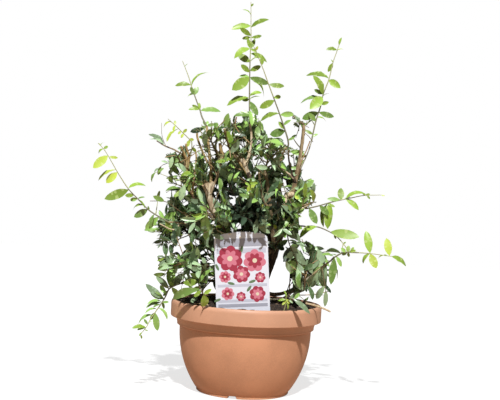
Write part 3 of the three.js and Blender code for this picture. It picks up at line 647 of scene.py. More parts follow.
# Single leaves: root, tip, and how wide each looks in hundredths of its length.
SEEN_LEAVES = {
    "foliage_leader": (
        (251, 27, 268.5, 19, 28), (249, 26.5, 231, 29, 32), (250, 36, 240, 28, 35), (251, 38, 262, 36, 30),
        (249, 38, 242, 38.5, 35), (250, 49, 247.5, 38, 35), (251, 49, 255, 39, 35), (250, 49, 234, 57, 28),
        (250, 54, 268, 62, 28), (249, 62, 238, 54, 45), (251, 62, 262, 57, 12), (250, 72, 241, 64.5, 45),
        (251, 71, 261, 66, 40), (249, 77, 239, 76, 30), (249, 78, 232, 90, 42), (251, 78, 269, 84, 34),
        (253, 79, 265.5, 96.5, 14), (249, 97, 226.5, 104.5, 20), (249, 99, 242, 100, 50),
        (251, 96, 262, 92, 28), (251, 99, 260, 96, 15), (250, 101, 258, 115.5, 35),
        (251, 110, 252, 126, 30), (249, 115, 240, 110, 30), (248, 116, 234, 115, 25),
        (251, 15, 243, 9, 12), (251, 7, 253.5, 3.5, 50), (250, 62, 243, 57, 35), (251, 49, 257, 52, 35),
        (250, 124, 243, 127, 40), (251, 120, 258, 124, 40)),
    "foliage_leader_right": (
        (269, 83.5, 284.5, 86.5, 30), (274, 98, 281, 96.5, 50), (274, 100, 259.5, 108, 42),
        (280, 114, 260, 120, 20), (281, 115, 294, 114, 38), (287, 129, 278.5, 121.5, 40),
        (285, 131, 270, 134.5, 48), (256, 51, 258, 46, 50), (262, 65, 262, 57, 50), (260, 58, 254, 56, 30),
        (284, 125, 291, 120, 30), (287, 140, 295, 137, 35)),
    "foliage_shoot_right": (
        (338, 45, 341.5, 37.5, 30), (337, 50, 343.5, 49, 20), (336, 50, 326, 49, 28),
        (333, 63, 331, 59.5, 30), (332, 62, 328, 72, 40), (328, 78, 306, 74, 20),
        (329, 79.5, 340.5, 88, 45), (323, 95, 314, 75, 27), (322, 94, 314, 89.5, 35),
        (322, 96, 310, 109, 50), (319, 98, 300, 102, 13), (322, 96, 329, 93, 12), (322, 104, 329, 102, 45),
        (317, 111, 302, 119, 42), (318, 112, 334, 117, 33), (317, 118, 326.5, 121, 16),
        (316, 121, 309, 113, 45), (313, 135, 305, 130, 35), (311, 137, 318, 134, 30)),
    "foliage_shoot_left": (
        (185, 67, 188, 63.5, 20), (191, 85, 175, 85, 26), (192, 86, 207.5, 71, 13),
        (194, 95, 197.5, 86, 50), (194, 95, 190.5, 87, 45), (195, 94, 187, 97, 20),
        (199.5, 110, 188.5, 109, 27), (199.5, 109, 192, 105, 40), (200, 110, 199, 102.5, 40),
        (201, 110, 221, 111, 28), (204, 127, 203, 121, 50), (205, 127, 208, 121, 50),
        (206, 126, 215, 124, 40), (206, 128, 199, 130, 45)),
    "foliage_far_left": (
        (103, 149, 98, 153.5, 25), (104, 148, 108, 146, 55), (101, 146, 98, 143, 15),
        (102, 145, 104, 142, 15), (106, 157, 93, 168, 40), (109, 156, 118, 158, 30),
        (117, 172, 106, 183, 48), (113, 171, 97.5, 179.5, 12), (127, 191, 104.5, 199, 35),
        (130, 187, 146, 184.5, 20), (133, 197, 125, 195.5, 50), (137, 199, 145, 197, 25),
        (138, 198, 130, 200, 45), (139, 200, 145, 208, 15), (147, 211, 134, 217, 42),
        (142, 208, 132, 209, 15), (150, 210, 148, 206, 40), (155, 212, 150, 228, 25),
        (156, 222, 145, 229, 35), (160, 226, 170, 222, 40), (163, 224, 172, 232, 40)),
    "foliage_far_right": (
        (341, 199, 341, 188, 50), (346, 199, 365, 192, 17), (341, 199, 327, 199, 30),
        (344, 197, 351, 197, 20), (346, 201, 359, 210, 30), (327, 204, 335, 207, 32),
        (320, 207, 329, 215, 45), (331, 206, 327.5, 229, 33), (329, 207, 322, 227, 12),
        (309, 210, 317, 224, 38), (303, 210, 296.5, 214, 35), (365, 196, 370, 194, 50),
        (367, 196, 370, 199, 40), (366, 195, 362, 193, 40), (381, 195, 385, 196, 30),
        (309, 208, 311, 197, 20)),
    "foliage_right": (
        (318, 226.5, 299, 236.5, 20), (330, 231.5, 359.5, 237, 32), (333, 236, 336, 239, 40),
        (343, 244, 346, 242, 50), (346, 248, 349, 252, 50)),
    "foliage_right_shoot": (
        (346, 252, 341, 248, 60), (347, 252, 349, 245.5, 60), (348, 252, 349, 257, 50),
        (349, 252, 356, 250, 35), (350, 251, 354, 247, 40), (347, 253, 342, 255, 50),
        (370.5, 251.5, 366, 230.5, 35), (390, 254, 386.5, 238, 42), (370, 255, 376.5, 268.5, 48),
        (370, 258, 362, 263.5, 20), (391, 256, 407.5, 266.5, 25), (388, 254, 384, 254.5, 30),
        (385, 255, 378, 258, 15), (352, 252, 359, 253, 20), (335, 258, 331, 285, 30),
        (337, 257, 341.5, 267, 33), (334, 257, 322, 254, 12), (330, 260, 338, 280, 12)),
    "bough_right_shoot": (
        (325, 262, 325, 284, 24), (327, 264, 324, 290, 27), (321, 260, 318, 249.5, 40),
        (319, 263, 314, 272, 25), (316, 270, 309, 288, 42), (312, 273, 306, 262, 30),
        (304, 281, 296, 272, 35)),
    "bough_right_low": (
        (299, 290, 290, 298, 38), (296, 290, 296, 278, 40), (300, 285, 292, 277, 40)),
    "sucker": (
        (286, 300, 278, 300.5, 25), (286, 301, 282, 305, 40), (286, 301, 288, 310, 24),
        (285, 298, 284, 290, 18), (286, 299, 290, 304, 50)),
    "sucker_side": (
        (293, 300, 310.5, 314, 22), (290, 300, 293, 303, 50), (294, 299, 300, 293, 40)),
    "hang_right": (
        (324, 286, 316, 299, 33), (326, 290, 325, 307, 30), (325, 284, 331, 293, 30)),
    "right_fall": (
        (286, 240, 278, 246, 40), (290, 246, 302, 259, 42), (290, 247, 283, 259, 35),
        (292, 251, 287, 262, 50), (295, 259, 290, 274, 40), (297, 262, 304, 273, 30),
        (298, 265, 297, 284, 30), (300, 271, 305, 266, 40), (300, 272, 299, 288, 25),
        (288, 241, 300, 246, 15), (289, 243, 310, 250, 12)),
    "hang_middle": (
        (308, 284, 306, 292, 28), (309, 286, 313, 300, 30)),
    "foliage_left_droop": (
        (160, 296, 150, 292, 40), (156, 295, 145.5, 284, 30), (159, 300, 147, 303, 12),
        (159, 301, 145.5, 307, 12), (158, 303, 153, 307, 20), (156, 308, 145, 312, 12),
        (161, 302, 169, 302, 33), (163, 302, 164, 309, 35), (160, 309, 168, 319, 15),
        (155, 312, 157.5, 331, 35), (155, 312, 150, 320, 40), (152, 314, 137, 324, 12),
        (145, 327, 132, 327.5, 20), (147, 324, 144, 319, 40), (148, 322, 152, 321, 20),
        (142, 332, 139, 336, 25), (144, 329, 148, 331, 30), (146, 326, 137, 330, 30),
        (140, 334, 142, 339, 30), (171, 289, 184, 273, 38), (170, 288, 172, 265, 36),
        (169, 289, 156, 276, 30), (177, 291, 179, 283, 42), (166, 294, 160, 285, 35),
        (176, 290, 168, 282, 40), (168, 290, 163, 296, 40), (174, 291, 180, 297, 40)),
    "rim_left": (
        (199, 290, 171, 298.5, 20), (204, 294, 204, 307, 50), (199, 284, 212.5, 268, 20),
        (199, 282, 183, 283, 42), (204, 294, 211.5, 289, 42), (201, 290, 194, 297, 42),
        (200, 286, 192, 292, 40), (200, 279, 190, 273, 40), (200, 279, 208, 283, 35)),
    "top_left": (
        (175, 125, 175, 120.5, 50), (175, 125, 173, 131, 40), (181, 131, 178, 134, 50),
        (183, 133, 187, 129, 55), (183, 134, 181, 138, 55), (189, 139, 194, 140, 55),
        (189, 140, 187, 147, 50), (171, 122, 163, 127, 20), (178, 129, 166, 141, 12),
        (192, 147, 196, 152, 50)),
    "old_twig": (
        (164, 145, 149, 133, 20), (163, 147, 150, 138, 12), (176, 151, 170, 160, 30),
        (180, 154, 172, 166, 40)),
    "left_wisp": (
        (156, 172, 151, 182, 20), (170, 178, 178, 176, 30), (168, 177, 173, 183, 50),
        (158, 172, 164, 168, 30)),
    "left_upper_wisp": (
        (160, 168, 154, 172, 25), (161, 166, 158, 175, 40), (168, 163, 161, 161, 30)),
}
# Depths in mm of the tips of the slim leaves that shade the rim; the others' are random.
LEAF_DEPTHS = {("rim_left", 0): -92, ("rim_left", 1): -128, ("sucker_side", 0): -134}
# How young the leaves of each carrier that is no mass are, at its foot and tip.
LEAF_AGES = {
    "rim_left": (0.5, 0.62), "hang_right": (0.1, 0.25), "right_fall": (0.1, 0.3),
    "hang_middle": (0.1, 0.2), "top_left": (0.9, 0.98), "old_twig": (0.2, 0.35),
    "left_wisp": (0.3, 0.45), "left_upper_wisp": (0.3, 0.4), "sucker": (0.62, 0.9),
    "sucker_side": (0.2, 0.4), "bough_right_shoot": (0.2, 0.3), "bough_right_low": (0.1, 0.3),
}
# Leaves on the crown's frontmost twigs: root, tip, and their width and age in hundredths.
CROWN_LEAVES = (
    (225.5, 128, 228.5, 113, 37, 50), (204, 128, 190, 132, 37, 5), (204, 128, 197, 129, 39, 60),
    (231, 127, 216, 130, 15, 10), (232, 150, 240, 141, 39, 20), (248, 129, 237, 126, 32, 40),
    (249, 134, 234, 134, 30, 5), (195, 178, 204, 184, 39, 50), (177, 163, 188, 175, 26, 25),
    (191, 176, 180, 175.5, 25, 80), (178, 178, 166, 177.5, 25, 75), (174, 158, 170, 168, 39, 25),
    (176, 158, 165, 157, 30, 5), (186, 183, 189, 192, 39, 72), (184, 185, 180, 201, 39, 30),
    (211, 166, 206, 176, 34, 12), (231, 161, 221, 168, 33, 12), (219, 171, 230, 179, 37, 28),
    (243, 167, 232, 163, 37, 30), (243, 174, 231, 170, 32, 33), (204, 200, 194, 206, 39, 33),
    (164, 197, 153, 196, 39, 35), (158, 187, 154, 196, 37, 30), (254.5, 149, 257, 139, 37, 3),
    (251, 135, 266, 138.5, 30, 42), (260, 139, 258, 126, 37, 40), (282, 143, 264, 142, 20, 40),
    (280, 144, 269, 148, 32, 35), (264, 154, 254, 160, 32, 15), (265, 156, 273, 162, 25, 10),
    (272, 169, 279, 155, 39, 20), (283, 168, 276, 160, 37, 20), (301, 136.5, 290.5, 139, 32, 50),
    (302, 130, 295, 123, 39, 30), (303, 121, 293, 114.5, 32, 20), (301, 152, 290, 151, 37, 35),
    (297, 166.5, 289.5, 168.5, 32, 55), (300, 154, 307, 156, 39, 75), (295.5, 173, 286, 178, 30, 20),
    (307, 190, 314, 180, 39, 42), (303, 193, 317, 204, 15, 30), (254, 185, 245, 182.5, 39, 70),
    (256, 184, 246.5, 192, 37, 90), (253, 186, 251, 178, 32, 75), (250, 186, 258, 183, 39, 80),
    (267, 192, 280, 181, 30, 10), (283, 187, 292, 186, 25, 50), (257, 170, 268, 168, 39, 30),
    (270, 172, 281, 174, 39, 30), (284, 203, 297, 221, 25, 30), (288, 226, 300, 228.5, 25, 15),
    (283, 225, 292, 235, 30, 30), (285, 232, 296, 239, 32, 33), (296, 240, 306, 252, 30, 33),
    (297, 241, 314, 251, 12, 20), (293, 253, 306, 265, 37, 32), (284, 259, 292, 273, 37, 30),
    (299, 276, 296, 290, 37, 12), (289, 252, 283, 262, 37, 5), (310, 262, 303, 270, 37, 8),
    (321, 262, 319, 251, 39, 30), (259, 222, 255, 234, 37, 25), (232, 206, 219, 206, 32, 30),
    (220, 201, 225.5, 198.5, 39, 70), (203, 218, 206, 240, 37, 36), (226, 228, 215.5, 226, 39, 62),
    (209, 224, 207, 231, 39, 60), (204, 249, 206, 239, 37, 55), (195, 226, 192, 243, 37, 3),
    (196, 250, 191, 268, 39, 3), (176, 222, 157, 221, 35, 33), (166, 218, 176, 212, 37, 40),
    (160, 229, 144, 229.5, 25, 45), (175, 233, 176, 247, 37, 4), (163, 245, 166, 256, 39, 12),
    (165, 240, 154, 243, 37, 10), (166, 256, 157, 261, 30, 60), (186, 208, 178, 216, 37, 40),
    (200, 206, 206, 216, 37, 38), (213, 258, 198, 258, 12, 3), (208, 263, 200, 261, 37, 4),
    (205, 268, 201, 285, 39, 6), (213, 235, 224, 239, 32, 30), (206, 245, 212, 249, 37, 5),
    (260, 205, 262, 207, 60, 110), (255, 218, 257, 220, 60, 110), (297, 197, 299, 199, 60, 110),
    (274, 227, 276, 229, 60, 110),
)
# The dense crown's outline.
CROWN_OUTLINE = (
    (168, 301), (160, 290), (153, 274), (158, 264), (156, 258), (160, 251), (151, 243), (159, 233),
    (143, 230), (155, 216), (148, 205), (143, 202), (150, 197), (152, 188), (158, 184), (164, 190),
    (172, 186), (176, 181), (166, 183), (163, 178), (170, 173), (168, 163), (164, 157), (167, 151),
    (180, 155), (179, 146), (187, 143), (193, 148), (196, 140), (188, 131), (197, 126), (206, 120),
    (216, 122), (219, 130), (225, 112), (230, 112), (232, 126), (235, 113), (247, 110), (250, 97),
    (259, 118), (262, 123), (268, 138), (282, 138), (290, 147), (296, 147), (289, 138), (300, 134),
    (294, 128), (291, 113), (303, 120), (313, 110), (311, 124), (307, 134), (309, 150), (308, 157),
    (301, 166), (301, 184), (311, 178), (319, 183), (312, 191), (319, 205), (304, 209), (298, 221),
    (302, 229), (297, 237), (308, 241), (323, 248), (343, 253), (344, 268), (338, 286), (330, 300),
    (325, 312), (316, 302), (304, 303), (296, 292), (290, 300), (276, 306), (268, 318), (168, 318),
)
# Openings in the crown: middle, half width and half height.
OPENINGS = (
    (225.5, 147, 3, 6), (216.5, 148, 2.8, 5), (241.5, 145, 3.5, 4), (194.5, 153, 2.5, 4), (202, 141, 2, 3),
    (193, 139, 3, 6), (185, 162.5, 3, 1.3), (182, 170, 3.5, 4.5), (163, 176, 6, 8), (179, 185, 5, 3),
    (195, 188, 1.8, 3), (217, 186, 2, 2.3), (217, 195, 2.8, 4), (219, 201, 3.4, 1.8), (234.5, 196.5, 4, 2),
    (233, 202.5, 3, 2.2), (236, 186, 2.2, 2), (245.5, 190.5, 2, 1.8), (187, 193.5, 2.5, 2),
    (185.5, 203, 2.2, 2.2), (258, 131, 1.6, 2.5), (246, 145, 1.8, 4), (257, 158, 5, 2.3), (262, 162, 5, 3),
    (268, 164, 3, 3.5), (253, 164, 2.8, 3), (268, 146, 3.2, 2.4), (275, 150.5, 3, 1.6),
    (258, 143.5, 3, 3.5), (249, 174, 2.2, 2.6), (256, 175.5, 2.4, 2), (243.5, 179, 1.6, 2),
    (275, 156, 1.6, 3), (286.5, 160, 2.6, 6), (293.5, 163, 2.6, 4), (286, 181.5, 3.2, 1.3),
    (286.5, 186, 3.2, 1.4), (284, 192, 2.6, 4), (292.3, 197, 1.3, 3.6), (296, 192.5, 2.6, 1.2),
    (160, 205.5, 7, 3.6), (156, 219, 2, 5), (164.5, 213.5, 1.6, 3), (213.5, 219.5, 2.6, 4.2),
    (209, 213, 1.6, 3), (224.3, 213.5, 1.7, 3), (238, 226, 2.6, 3), (232, 231.5, 2, 2.4), (215, 238, 2, 2),
    (187, 231, 2.6, 1.4), (185.5, 239.5, 4.8, 5.2), (197, 243.5, 3.6, 3.6), (178.5, 240, 2, 4.2),
    (181, 250.5, 5.8, 4.3), (206, 253, 6.3, 3.7), (210, 261, 3.5, 2.4), (199.5, 260, 1.8, 2),
    (213, 268, 1.6, 5), (211, 283, 4.2, 8.2), (192.5, 274, 4, 3.6), (194.5, 286, 4.2, 3),
    (183, 269.5, 2.6, 3.2), (174, 289.5, 3, 3.6), (182, 285, 2.6, 1.6), (187, 288, 2.6, 2),
    (170, 298, 1.8, 4), (168, 248, 2, 6.2), (164, 281, 2.2, 3.4), (174.5, 238, 1.4, 3),
    (285.5, 219.5, 3.6, 1.4), (279.5, 253.5, 1.6, 2.2), (281, 271, 6, 12), (277, 285, 6, 9),
    (286, 284, 7, 9), (304, 262, 2.8, 2.2), (304, 279, 3, 3.5), (312, 292, 3, 5), (318, 290, 3, 4),
    (306, 256, 3, 2), (296, 143, 3, 4), (232, 133, 1.5, 2), (240, 119, 3, 3), (213, 133, 2, 2),
)
HOLLOWS = np.array(((231, 190, 9, 11), (246, 216, 17, 15), (209, 196, 6, 5), (185, 230, 6, 6),
                    (277, 206, 6, 8)))  # the same for hollows that lie in deep shade
CARD_VIEW = (241.5, 272, 28, 40)  # the same for the card


def shade(red, green, blue):
    """A screen colour from 0 to 255 in linear light."""
    return tuple((part / 255) ** 2.2 for part in (red, green, blue))


def tint(name, description, colour):
    return FloatVectorProperty(name=name, description=description, default=colour, subtype="COLOR",
                               min=0, max=1)


def length(name, description, metres):
    return FloatProperty(name=name, description=description, default=metres, unit="LENGTH")


class PomegranateSettings(bpy.types.PropertyGroup):
    """The sizes that drive the finer growth and relief, and the main colours."""

    seed: IntProperty(name="Seed", description="Start of the growth's random numbers", default=SEED)
    leaf_length: length("Leaf length", "Mean length of a leaf in the crown", 0.03)
    leaf_width: FloatProperty(name="Leaf width", description="Width of a leaf as a share of its length",
                              default=0.34, subtype="FACTOR")
    leaf_step: length("Leaf step", "Way between two leaf pairs", 0.0095)
    fissure: length("Fissure depth", "Depth of the bark's furrows on the trunk", 0.0016)
    clod: length("Clod height", "Height of the compost's lumps", 0.0035)
    print_lift: length("Print thickness", "How far the card's printed shapes stand proud", 0.00015)
    sunlight: FloatVectorProperty(name="Sun", description="Where the main light stands, from the pot",
                                  default=(0.1, -2.6, 3.2), subtype="XYZ")
    clay: tint("Bowl", "Colour of the bowl below its rim", (0.62, 0.3, 0.17))
    compost: tint("Compost", "Colour of the compost's dry crumbs", (0.07, 0.043, 0.028))
    board: tint("Card", "Colour of the card's board", (0.72, 0.75, 0.84))
    dark_petal: tint("Dark petals", "Darker colour of the card's blossoms", (0.36, 0.035, 0.07))
    light_petal: tint("Light petals", "Lighter colour of the card's blossoms", (0.62, 0.19, 0.26))
    bark: tint("Trunk", "Colour of the ridges of the trunk's bark", (0.085, 0.05, 0.03))
    # Painted shade: leaves that show in the crown's hollows take this dark colour.
    leaf_shadow: tint("Leaves in hollows", "Colour of leaves deep in the crown", shade(48, 62, 48))
    leaf_deep: tint("Dark leaves", "Colour of the oldest leaves", shade(65, 86, 57))
    # Partly painted sheen: the grey tone's lighter shade stands in for sky reflections on glossy leaves.
    leaf_grey: tint("Dull leaves", "Colour of most leaves", shade(144, 168, 129))
    leaf_green: tint("Green leaves", "Colour of this year's leaves", shade(133, 169, 87))
    leaf_fresh: tint("Young leaves", "Colour of the long shoots' leaves", shade(134, 164, 64))
    leaf_tips: tint("Shoot tips", "Colour of leaves that have just opened", shade(182, 202, 78))


def settings():
    return bpy.context.scene.pomegranate


# ------------------------------------------------------------------ finishes
def clay_finish():
    full = Vector(settings().clay)
    finish = Finish("clay plastic", full, 0.5)
    cloud = finish.speckle(14, 5)
    fine = finish.speckle(520, 2)
    turning = finish.speckle(60, 2, (0.02, 0.02, 14))
    tone = finish.between(cloud * 0.7 + fine * 0.3, 0.38, 0.62)
    clay = finish.mix(tone, (*full * 0.83, 1), (*full, 1))
    # Painted sheen: from 0.11 m up the clay is mixed towards a paler colour, standing in for the rim's
    # highlight.
    height = finish.add("ShaderNodeSeparateXYZ", None, {0: finish.place()}).outputs["Z"]
    rim_sheen = finish.between(height, 0.11, 0.16) * 0.4
    finish.colour(finish.mix(rim_sheen, clay, (0.66, 0.4, 0.28, 1)))
    finish.roughness(0.42 + 0.16 * cloud)
    finish.bump(fine * 0.5 + turning * 0.5, 0.0003, 0.35)
    return finish.material


def compost_finish():
    dry = Vector(settings().compost)
    finish = Finish("compost", dry * 0.5, 0.95)
    clods = finish.speckle(90, 6)
    fine = finish.speckle(700, 3)
    tone = finish.between(clods * 0.55 + fine * 0.45, 0.4, 0.62)
    finish.colour(finish.mix(tone, (*dry * 0.23, 1), (*dry, 1)))
    finish.bump(fine, 0.0008, 0.6)
    return finish.material


def bits_finish(name, dark, light):
    finish = Finish(name, light, 0.85)
    grain = finish.speckle(400, 3)
    finish.colour(finish.mix(finish.between(grain, 0.35, 0.65), (*dark, 1), (*light, 1)))
    return finish.material


def bark_finish(name, furrow, ridge, grey):
    finish = Finish(name, ridge, 0.85)
    furrows = finish.speckle(260, 6, (1, 1, 0.22), 0.65)
    patches = finish.speckle(38, 4)
    lit = finish.mix(finish.between(patches, 0.42, 0.66), (*ridge, 1), (*grey, 1))
    finish.colour(finish.mix(finish.between(furrows, 0.4, 0.6), (*furrow, 1), lit))
    finish.bump(furrows, 0.0009, 0.8)
    finish.roughness(0.75 + 0.2 * furrows)
    return finish.material


def cut_finish():
    finish = Finish("cut wood", (0.5, 0.36, 0.2), 0.8)
    grain = finish.speckle(300, 4)
    finish.colour(finish.mix(finish.between(grain, 0.35, 0.7), (0.56, 0.42, 0.26, 1), (0.3, 0.19, 0.1, 1)))
    return finish.material


def ink_finish(name, colour):
    """Printed board: the ink's own colour, a little uneven, under a satin film."""
    finish = Finish(name, colour, 0.38)
    film = finish.speckle(600, 2)
    finish.roughness(0.3 + 0.16 * film)
    finish.bump(film, 0.00005, 0.2)
    return finish.material


# ------------------------------------------------------------------ trees of nodes
def placed_copies_tree(finishes):
    """Copies of a collection's meshes on points that say which one, how big, how turned and what shade."""
    graph = Arrangement("Placed copies", {"Kinds": "NodeSocketCollection"}, finishes)
    kinds = graph.step("CollectionInfo", {
        "Collection": graph.source["Kinds"], "Separate Children": True, "Reset Children": True},
        transform_space="ORIGINAL")
    turn = graph.add("FunctionNodeEulerToRotation", None, {"Euler": graph.named("turn", "FLOAT_VECTOR")})
    placed = graph.step("InstanceOnPoints", {
        "Points": graph.source["Geometry"], "Instance": kinds, "Pick Instance": True,
        "Instance Index": graph.named("kind", "INT"), "Rotation": turn.outputs["Rotation"],
        "Scale": graph.named("size", "FLOAT_VECTOR")})
    number = Value(graph, graph.named("layer", "INT")) + graph.named("shade", "INT")
    graph.end(placed, number)
    return graph


def scattered_bits_tree():
    """Copies of one object strewn over a surface, each turned and sized at random."""
    inputs = dict.fromkeys(("Density", "Least size", "Most size", "Tilt"), "NodeSocketFloat")
    inputs.update({"Bit": "NodeSocketObject", "Seed": "NodeSocketInt"})
    graph = Arrangement("Scattered bits", inputs, 1)
    source = graph.source
    points = graph.step("DistributePointsOnFaces", {
        "Mesh": source["Geometry"], "Density": source["Density"], "Seed": source["Seed"]})
    bit = graph.add("GeometryNodeObjectInfo", {"transform_space": "ORIGINAL"},
                    {"Object": source["Bit"], "As Instance": True})
    tilt = Value(graph, source["Tilt"])
    low = graph.add("ShaderNodeCombineXYZ", None, {"X": tilt * -1, "Y": tilt * -1, "Z": 0.0})
    high = graph.add("ShaderNodeCombineXYZ", None, {"X": tilt, "Y": tilt, "Z": math.tau})
    turn = graph.add("FunctionNodeRandomValue", {"data_type": "FLOAT_VECTOR"},
                     {0: low.outputs[0], 1: high.outputs[0], "Seed": source["Seed"]})
    size = graph.add("FunctionNodeRandomValue", {"data_type": "FLOAT"},
                     {2: source["Least size"], 3: source["Most size"], "Seed": source["Seed"]})
    euler = graph.add("FunctionNodeEulerToRotation", None, {"Euler": turn.outputs[0]})
    graph.end(graph.step("InstanceOnPoints", {
        "Points": points, "Instance": bit.outputs["Geometry"], "Rotation": euler.outputs["Rotation"],
        "Scale": size.outputs[1]}))
    return graph


def grown_wood_tree(finishes):
    """Round wood along each run of edges, as thick as its points say, with furrows pressed in."""
    graph = Arrangement("Grown wood", {"Sides": "NodeSocketInt", "Furrow depth": "NodeSocketFloat",
                                       "Furrow size": "NodeSocketFloat"}, finishes)
    source = graph.source
    curves = graph.step("MeshToCurve", {"Mesh": source["Geometry"]})
    sized = graph.step("SetCurveRadius", {"Curve": curves, "Radius": graph.named("radius", "FLOAT")})
    ring = graph.step("CurvePrimitiveCircle", {"Resolution": source["Sides"], "Radius": 1.0})
    tube = graph.step("CurveToMesh", {"Curve": sized, "Profile Curve": ring, "Fill Caps": True,
                                      "Scale": graph.named("radius", "FLOAT")})
    stretch = graph.add("ShaderNodeVectorMath", {"operation": "MULTIPLY"},
                        {0: graph.step("InputPosition"), 1: (1.0, 1.0, 0.3)})
    furrows = graph.add("ShaderNodeTexNoise", None, {
        "Vector": stretch.outputs[0], "Scale": source["Furrow size"], "Detail": 4.0, "Roughness": 0.6})
    relief = (Value(graph, furrows.outputs["Fac"]) - 0.5) * source["Furrow depth"]
    push = graph.add("ShaderNodeVectorMath", {"operation": "SCALE"},
                     {0: graph.step("InputNormal"), "Scale": relief * graph.named("relief", "FLOAT")})
    pressed = graph.step("SetPosition", {"Geometry": tube, "Offset": push.outputs[0]})
    graph.end(graph.step("SetShadeSmooth", {"Geometry": pressed}), graph.named("shade", "INT"))
    return graph


class Gathered:
    """Points, the edges between them and their attributes, gathered for a tree of nodes."""

    def __init__(self):
        self.points = []
        self.edges = []
        self.values = {}

    def put(self, point, **values):
        self.points.append(tuple(point))
        for key, value in values.items():
            self.values.setdefault(key, []).append(value)

    def mesh(self, name):
        mesh = bpy.data.meshes.new(name)
        mesh.from_pydata(self.points, self.edges, [])
        for key, values in self.values.items():
            flat = np.array(values, dtype=np.float32)
            if flat.ndim == 2:
                mesh.attributes.new(key, "FLOAT_VECTOR", "POINT").data.foreach_set("vector", flat.ravel())
            elif key in ("kind", "shade"):
                mesh.attributes.new(key, "INT", "POINT").data.foreach_set("value", flat.astype(np.int32))
            else:
                mesh.attributes.new(key, "FLOAT", "POINT").data.foreach_set("value", flat)
        return linked(name, mesh)


class Wood(Gathered):
    """Runs of round wood for the Grown wood tree, each in one of its shades."""

    def __init__(self, shades=("plain",)):
        super().__init__()
        self.shades = list(shades)

    def add(self, points, radii, shade="plain", relief=1.0):
        first = len(self.points)
        for point, radius in zip(points, radii):
            self.put(point, radius=radius, relief=relief, shade=self.shades.index(shade))
        self.edges.extend((i, i + 1) for i in range(first, len(self.points) - 1))

    def build(self, name, sides, depth, size, finishes):
        values = {"Sides": sides, "Furrow depth": depth, "Furrow size": size}
        return grown_wood_tree(len(finishes)).run(self.mesh(name), values, finishes, name)


class Sprays(Gathered):
    """Copies for the Placed copies tree."""

    def add(self, point, across, along, face, size, kind, shade):
        turn = tuple(Matrix((across, along, face)).transposed().to_euler())
        self.put(point, turn=turn, size=size, kind=kind, shade=shade)

    def build(self, name, kinds, finishes):
        return placed_copies_tree(len(finishes)).run(self.mesh(name), {"Kinds": kinds}, finishes, name)


def kinds_collection(name, shapes):
    """A collection of shapes to copy. forget() removes it once the copies are made."""
    collection = bpy.data.collections.new(name)
    bpy.context.scene.collection.children.link(collection)
    for shape in shapes:
        bpy.context.scene.collection.objects.unlink(shape)
        collection.objects.link(shape)
    return collection


def forget(collection):
    for shape in list(collection.objects):
        bpy.data.objects.remove(shape)
    bpy.data.collections.remove(collection)


# ------------------------------------------------------------------ operators
def belly_radius(height):
    drop = BELLY["height"] - height
    return BELLY["radius"] - BELLY["arc"] + math.sqrt(BELLY["arc"] ** 2 - drop ** 2)


def inside_profile(inset):
    """The pot's inside from its floor up to its lip."""
    wall = BELLY["wall"] + inset
    floor = FOOT["recess"] + FLOOR_THICKNESS + inset
    band_foot = POT_HEIGHT - RIM["band"]
    rise = [(belly_radius(z) - wall, z, 0) for z in (22, 36, 52, 70, 92)]
    return [(0, floor, 0), (FOOT["outer"] + 1 - inset, floor, 6), *rise,
            (BELLY["radius"] - wall, BELLY["height"] + 3, 2), (NECK["top"] - wall, band_foot + 1, 2),
            (INSIDE - inset, POT_HEIGHT - 10, 2)]


class POMEGRANATE_OT_pot(bpy.types.Operator):
    """Turns the bowl with its banded rim, bead and notched foot ring"""

    bl_idname = "pomegranate.pot"
    bl_label = "Pot"

    def execute(self, context):
        band_foot = POT_HEIGHT - RIM["band"]
        neck_foot = band_foot - NECK["height"]
        rim = RIM["radius"]
        side = [(belly_radius(z), z, 0) for z in np.linspace(9, BELLY["height"], 14)]
        corners = [
            (0, FOOT["recess"], 0), (FOOT["inner"], FOOT["recess"], 1.5), (FOOT["inner"], 0, 1),
            (FOOT["outer"], 0, 1.2), (FOOT["outer"], FOOT["corner"], 0.6),
            (belly_radius(FOOT["corner"]) - 0.6, FOOT["corner"], 1.5), *side,
            (BELLY["radius"], neck_foot - 6, 1), (BELLY["radius"] - 0.4, neck_foot - 5.2, 0.5),
            (NECK["foot"] + 0.2, neck_foot - 3.2, 1.4), (NECK["foot"], neck_foot, 1.2),
            (NECK["top"], band_foot, 1.4), (rim - 0.8, band_foot, 0.6), (rim, band_foot + 0.8, 0.6),
            (rim + 0.2, POT_HEIGHT - 5, 3), (rim - 2.2, POT_HEIGHT, 2.6),
            (INSIDE, POT_HEIGHT, 2), *reversed(inside_profile(0)),
        ]
        outline = [(point.x * MM, point.y * MM) for point in rounded(corners)]
        half_notch = FOOT["notch_width"] / 2 * MM
        top = FOOT["notch_height"] * MM

        def notched(point, angle):
            if point.z > top or math.hypot(point.x, point.y) < (FOOT["inner"] - 1) * MM:
                return point
            for degrees in NOTCH_ANGLES:
                away = angle - math.radians(degrees)
                if abs(math.sin(away) * FOOT["outer"] * MM) < half_notch and math.cos(away) > 0:
                    point.z = top
            return point

        points, faces = turned_mesh(outline, 240, notched)
        pot = mesh_piece("pot_shell", points, faces, clay_finish())
        pot.data.set_sharp_from_angle(angle=math.radians(50))
        finish_piece(pot, "pot", "pot")
        return {"FINISHED"}


def soil_height(x, y, clod):
    """The compost's top: a low mound round the trunk with lumps on it."""
    radius = math.hypot(x, y) / MM
    if radius < SOIL["mound_radius"]:
        base = SOIL["mound"]
    elif radius < SOIL["shoulder_radius"]:
        share = (radius - SOIL["mound_radius"]) / (SOIL["shoulder_radius"] - SOIL["mound_radius"])
        base = lerp(SOIL["mound"], SOIL["shoulder"], share)
    else:
        share = (radius - SOIL["shoulder_radius"]) / (INSIDE - SOIL["shoulder_radius"])
        base = lerp(SOIL["shoulder"], SOIL["edge"], share)
    lumps = noise.fractal(Vector((x * 55, y * 55, 3.7)), 1.0, 2.1, 5)
    return base * MM + clod * lumps


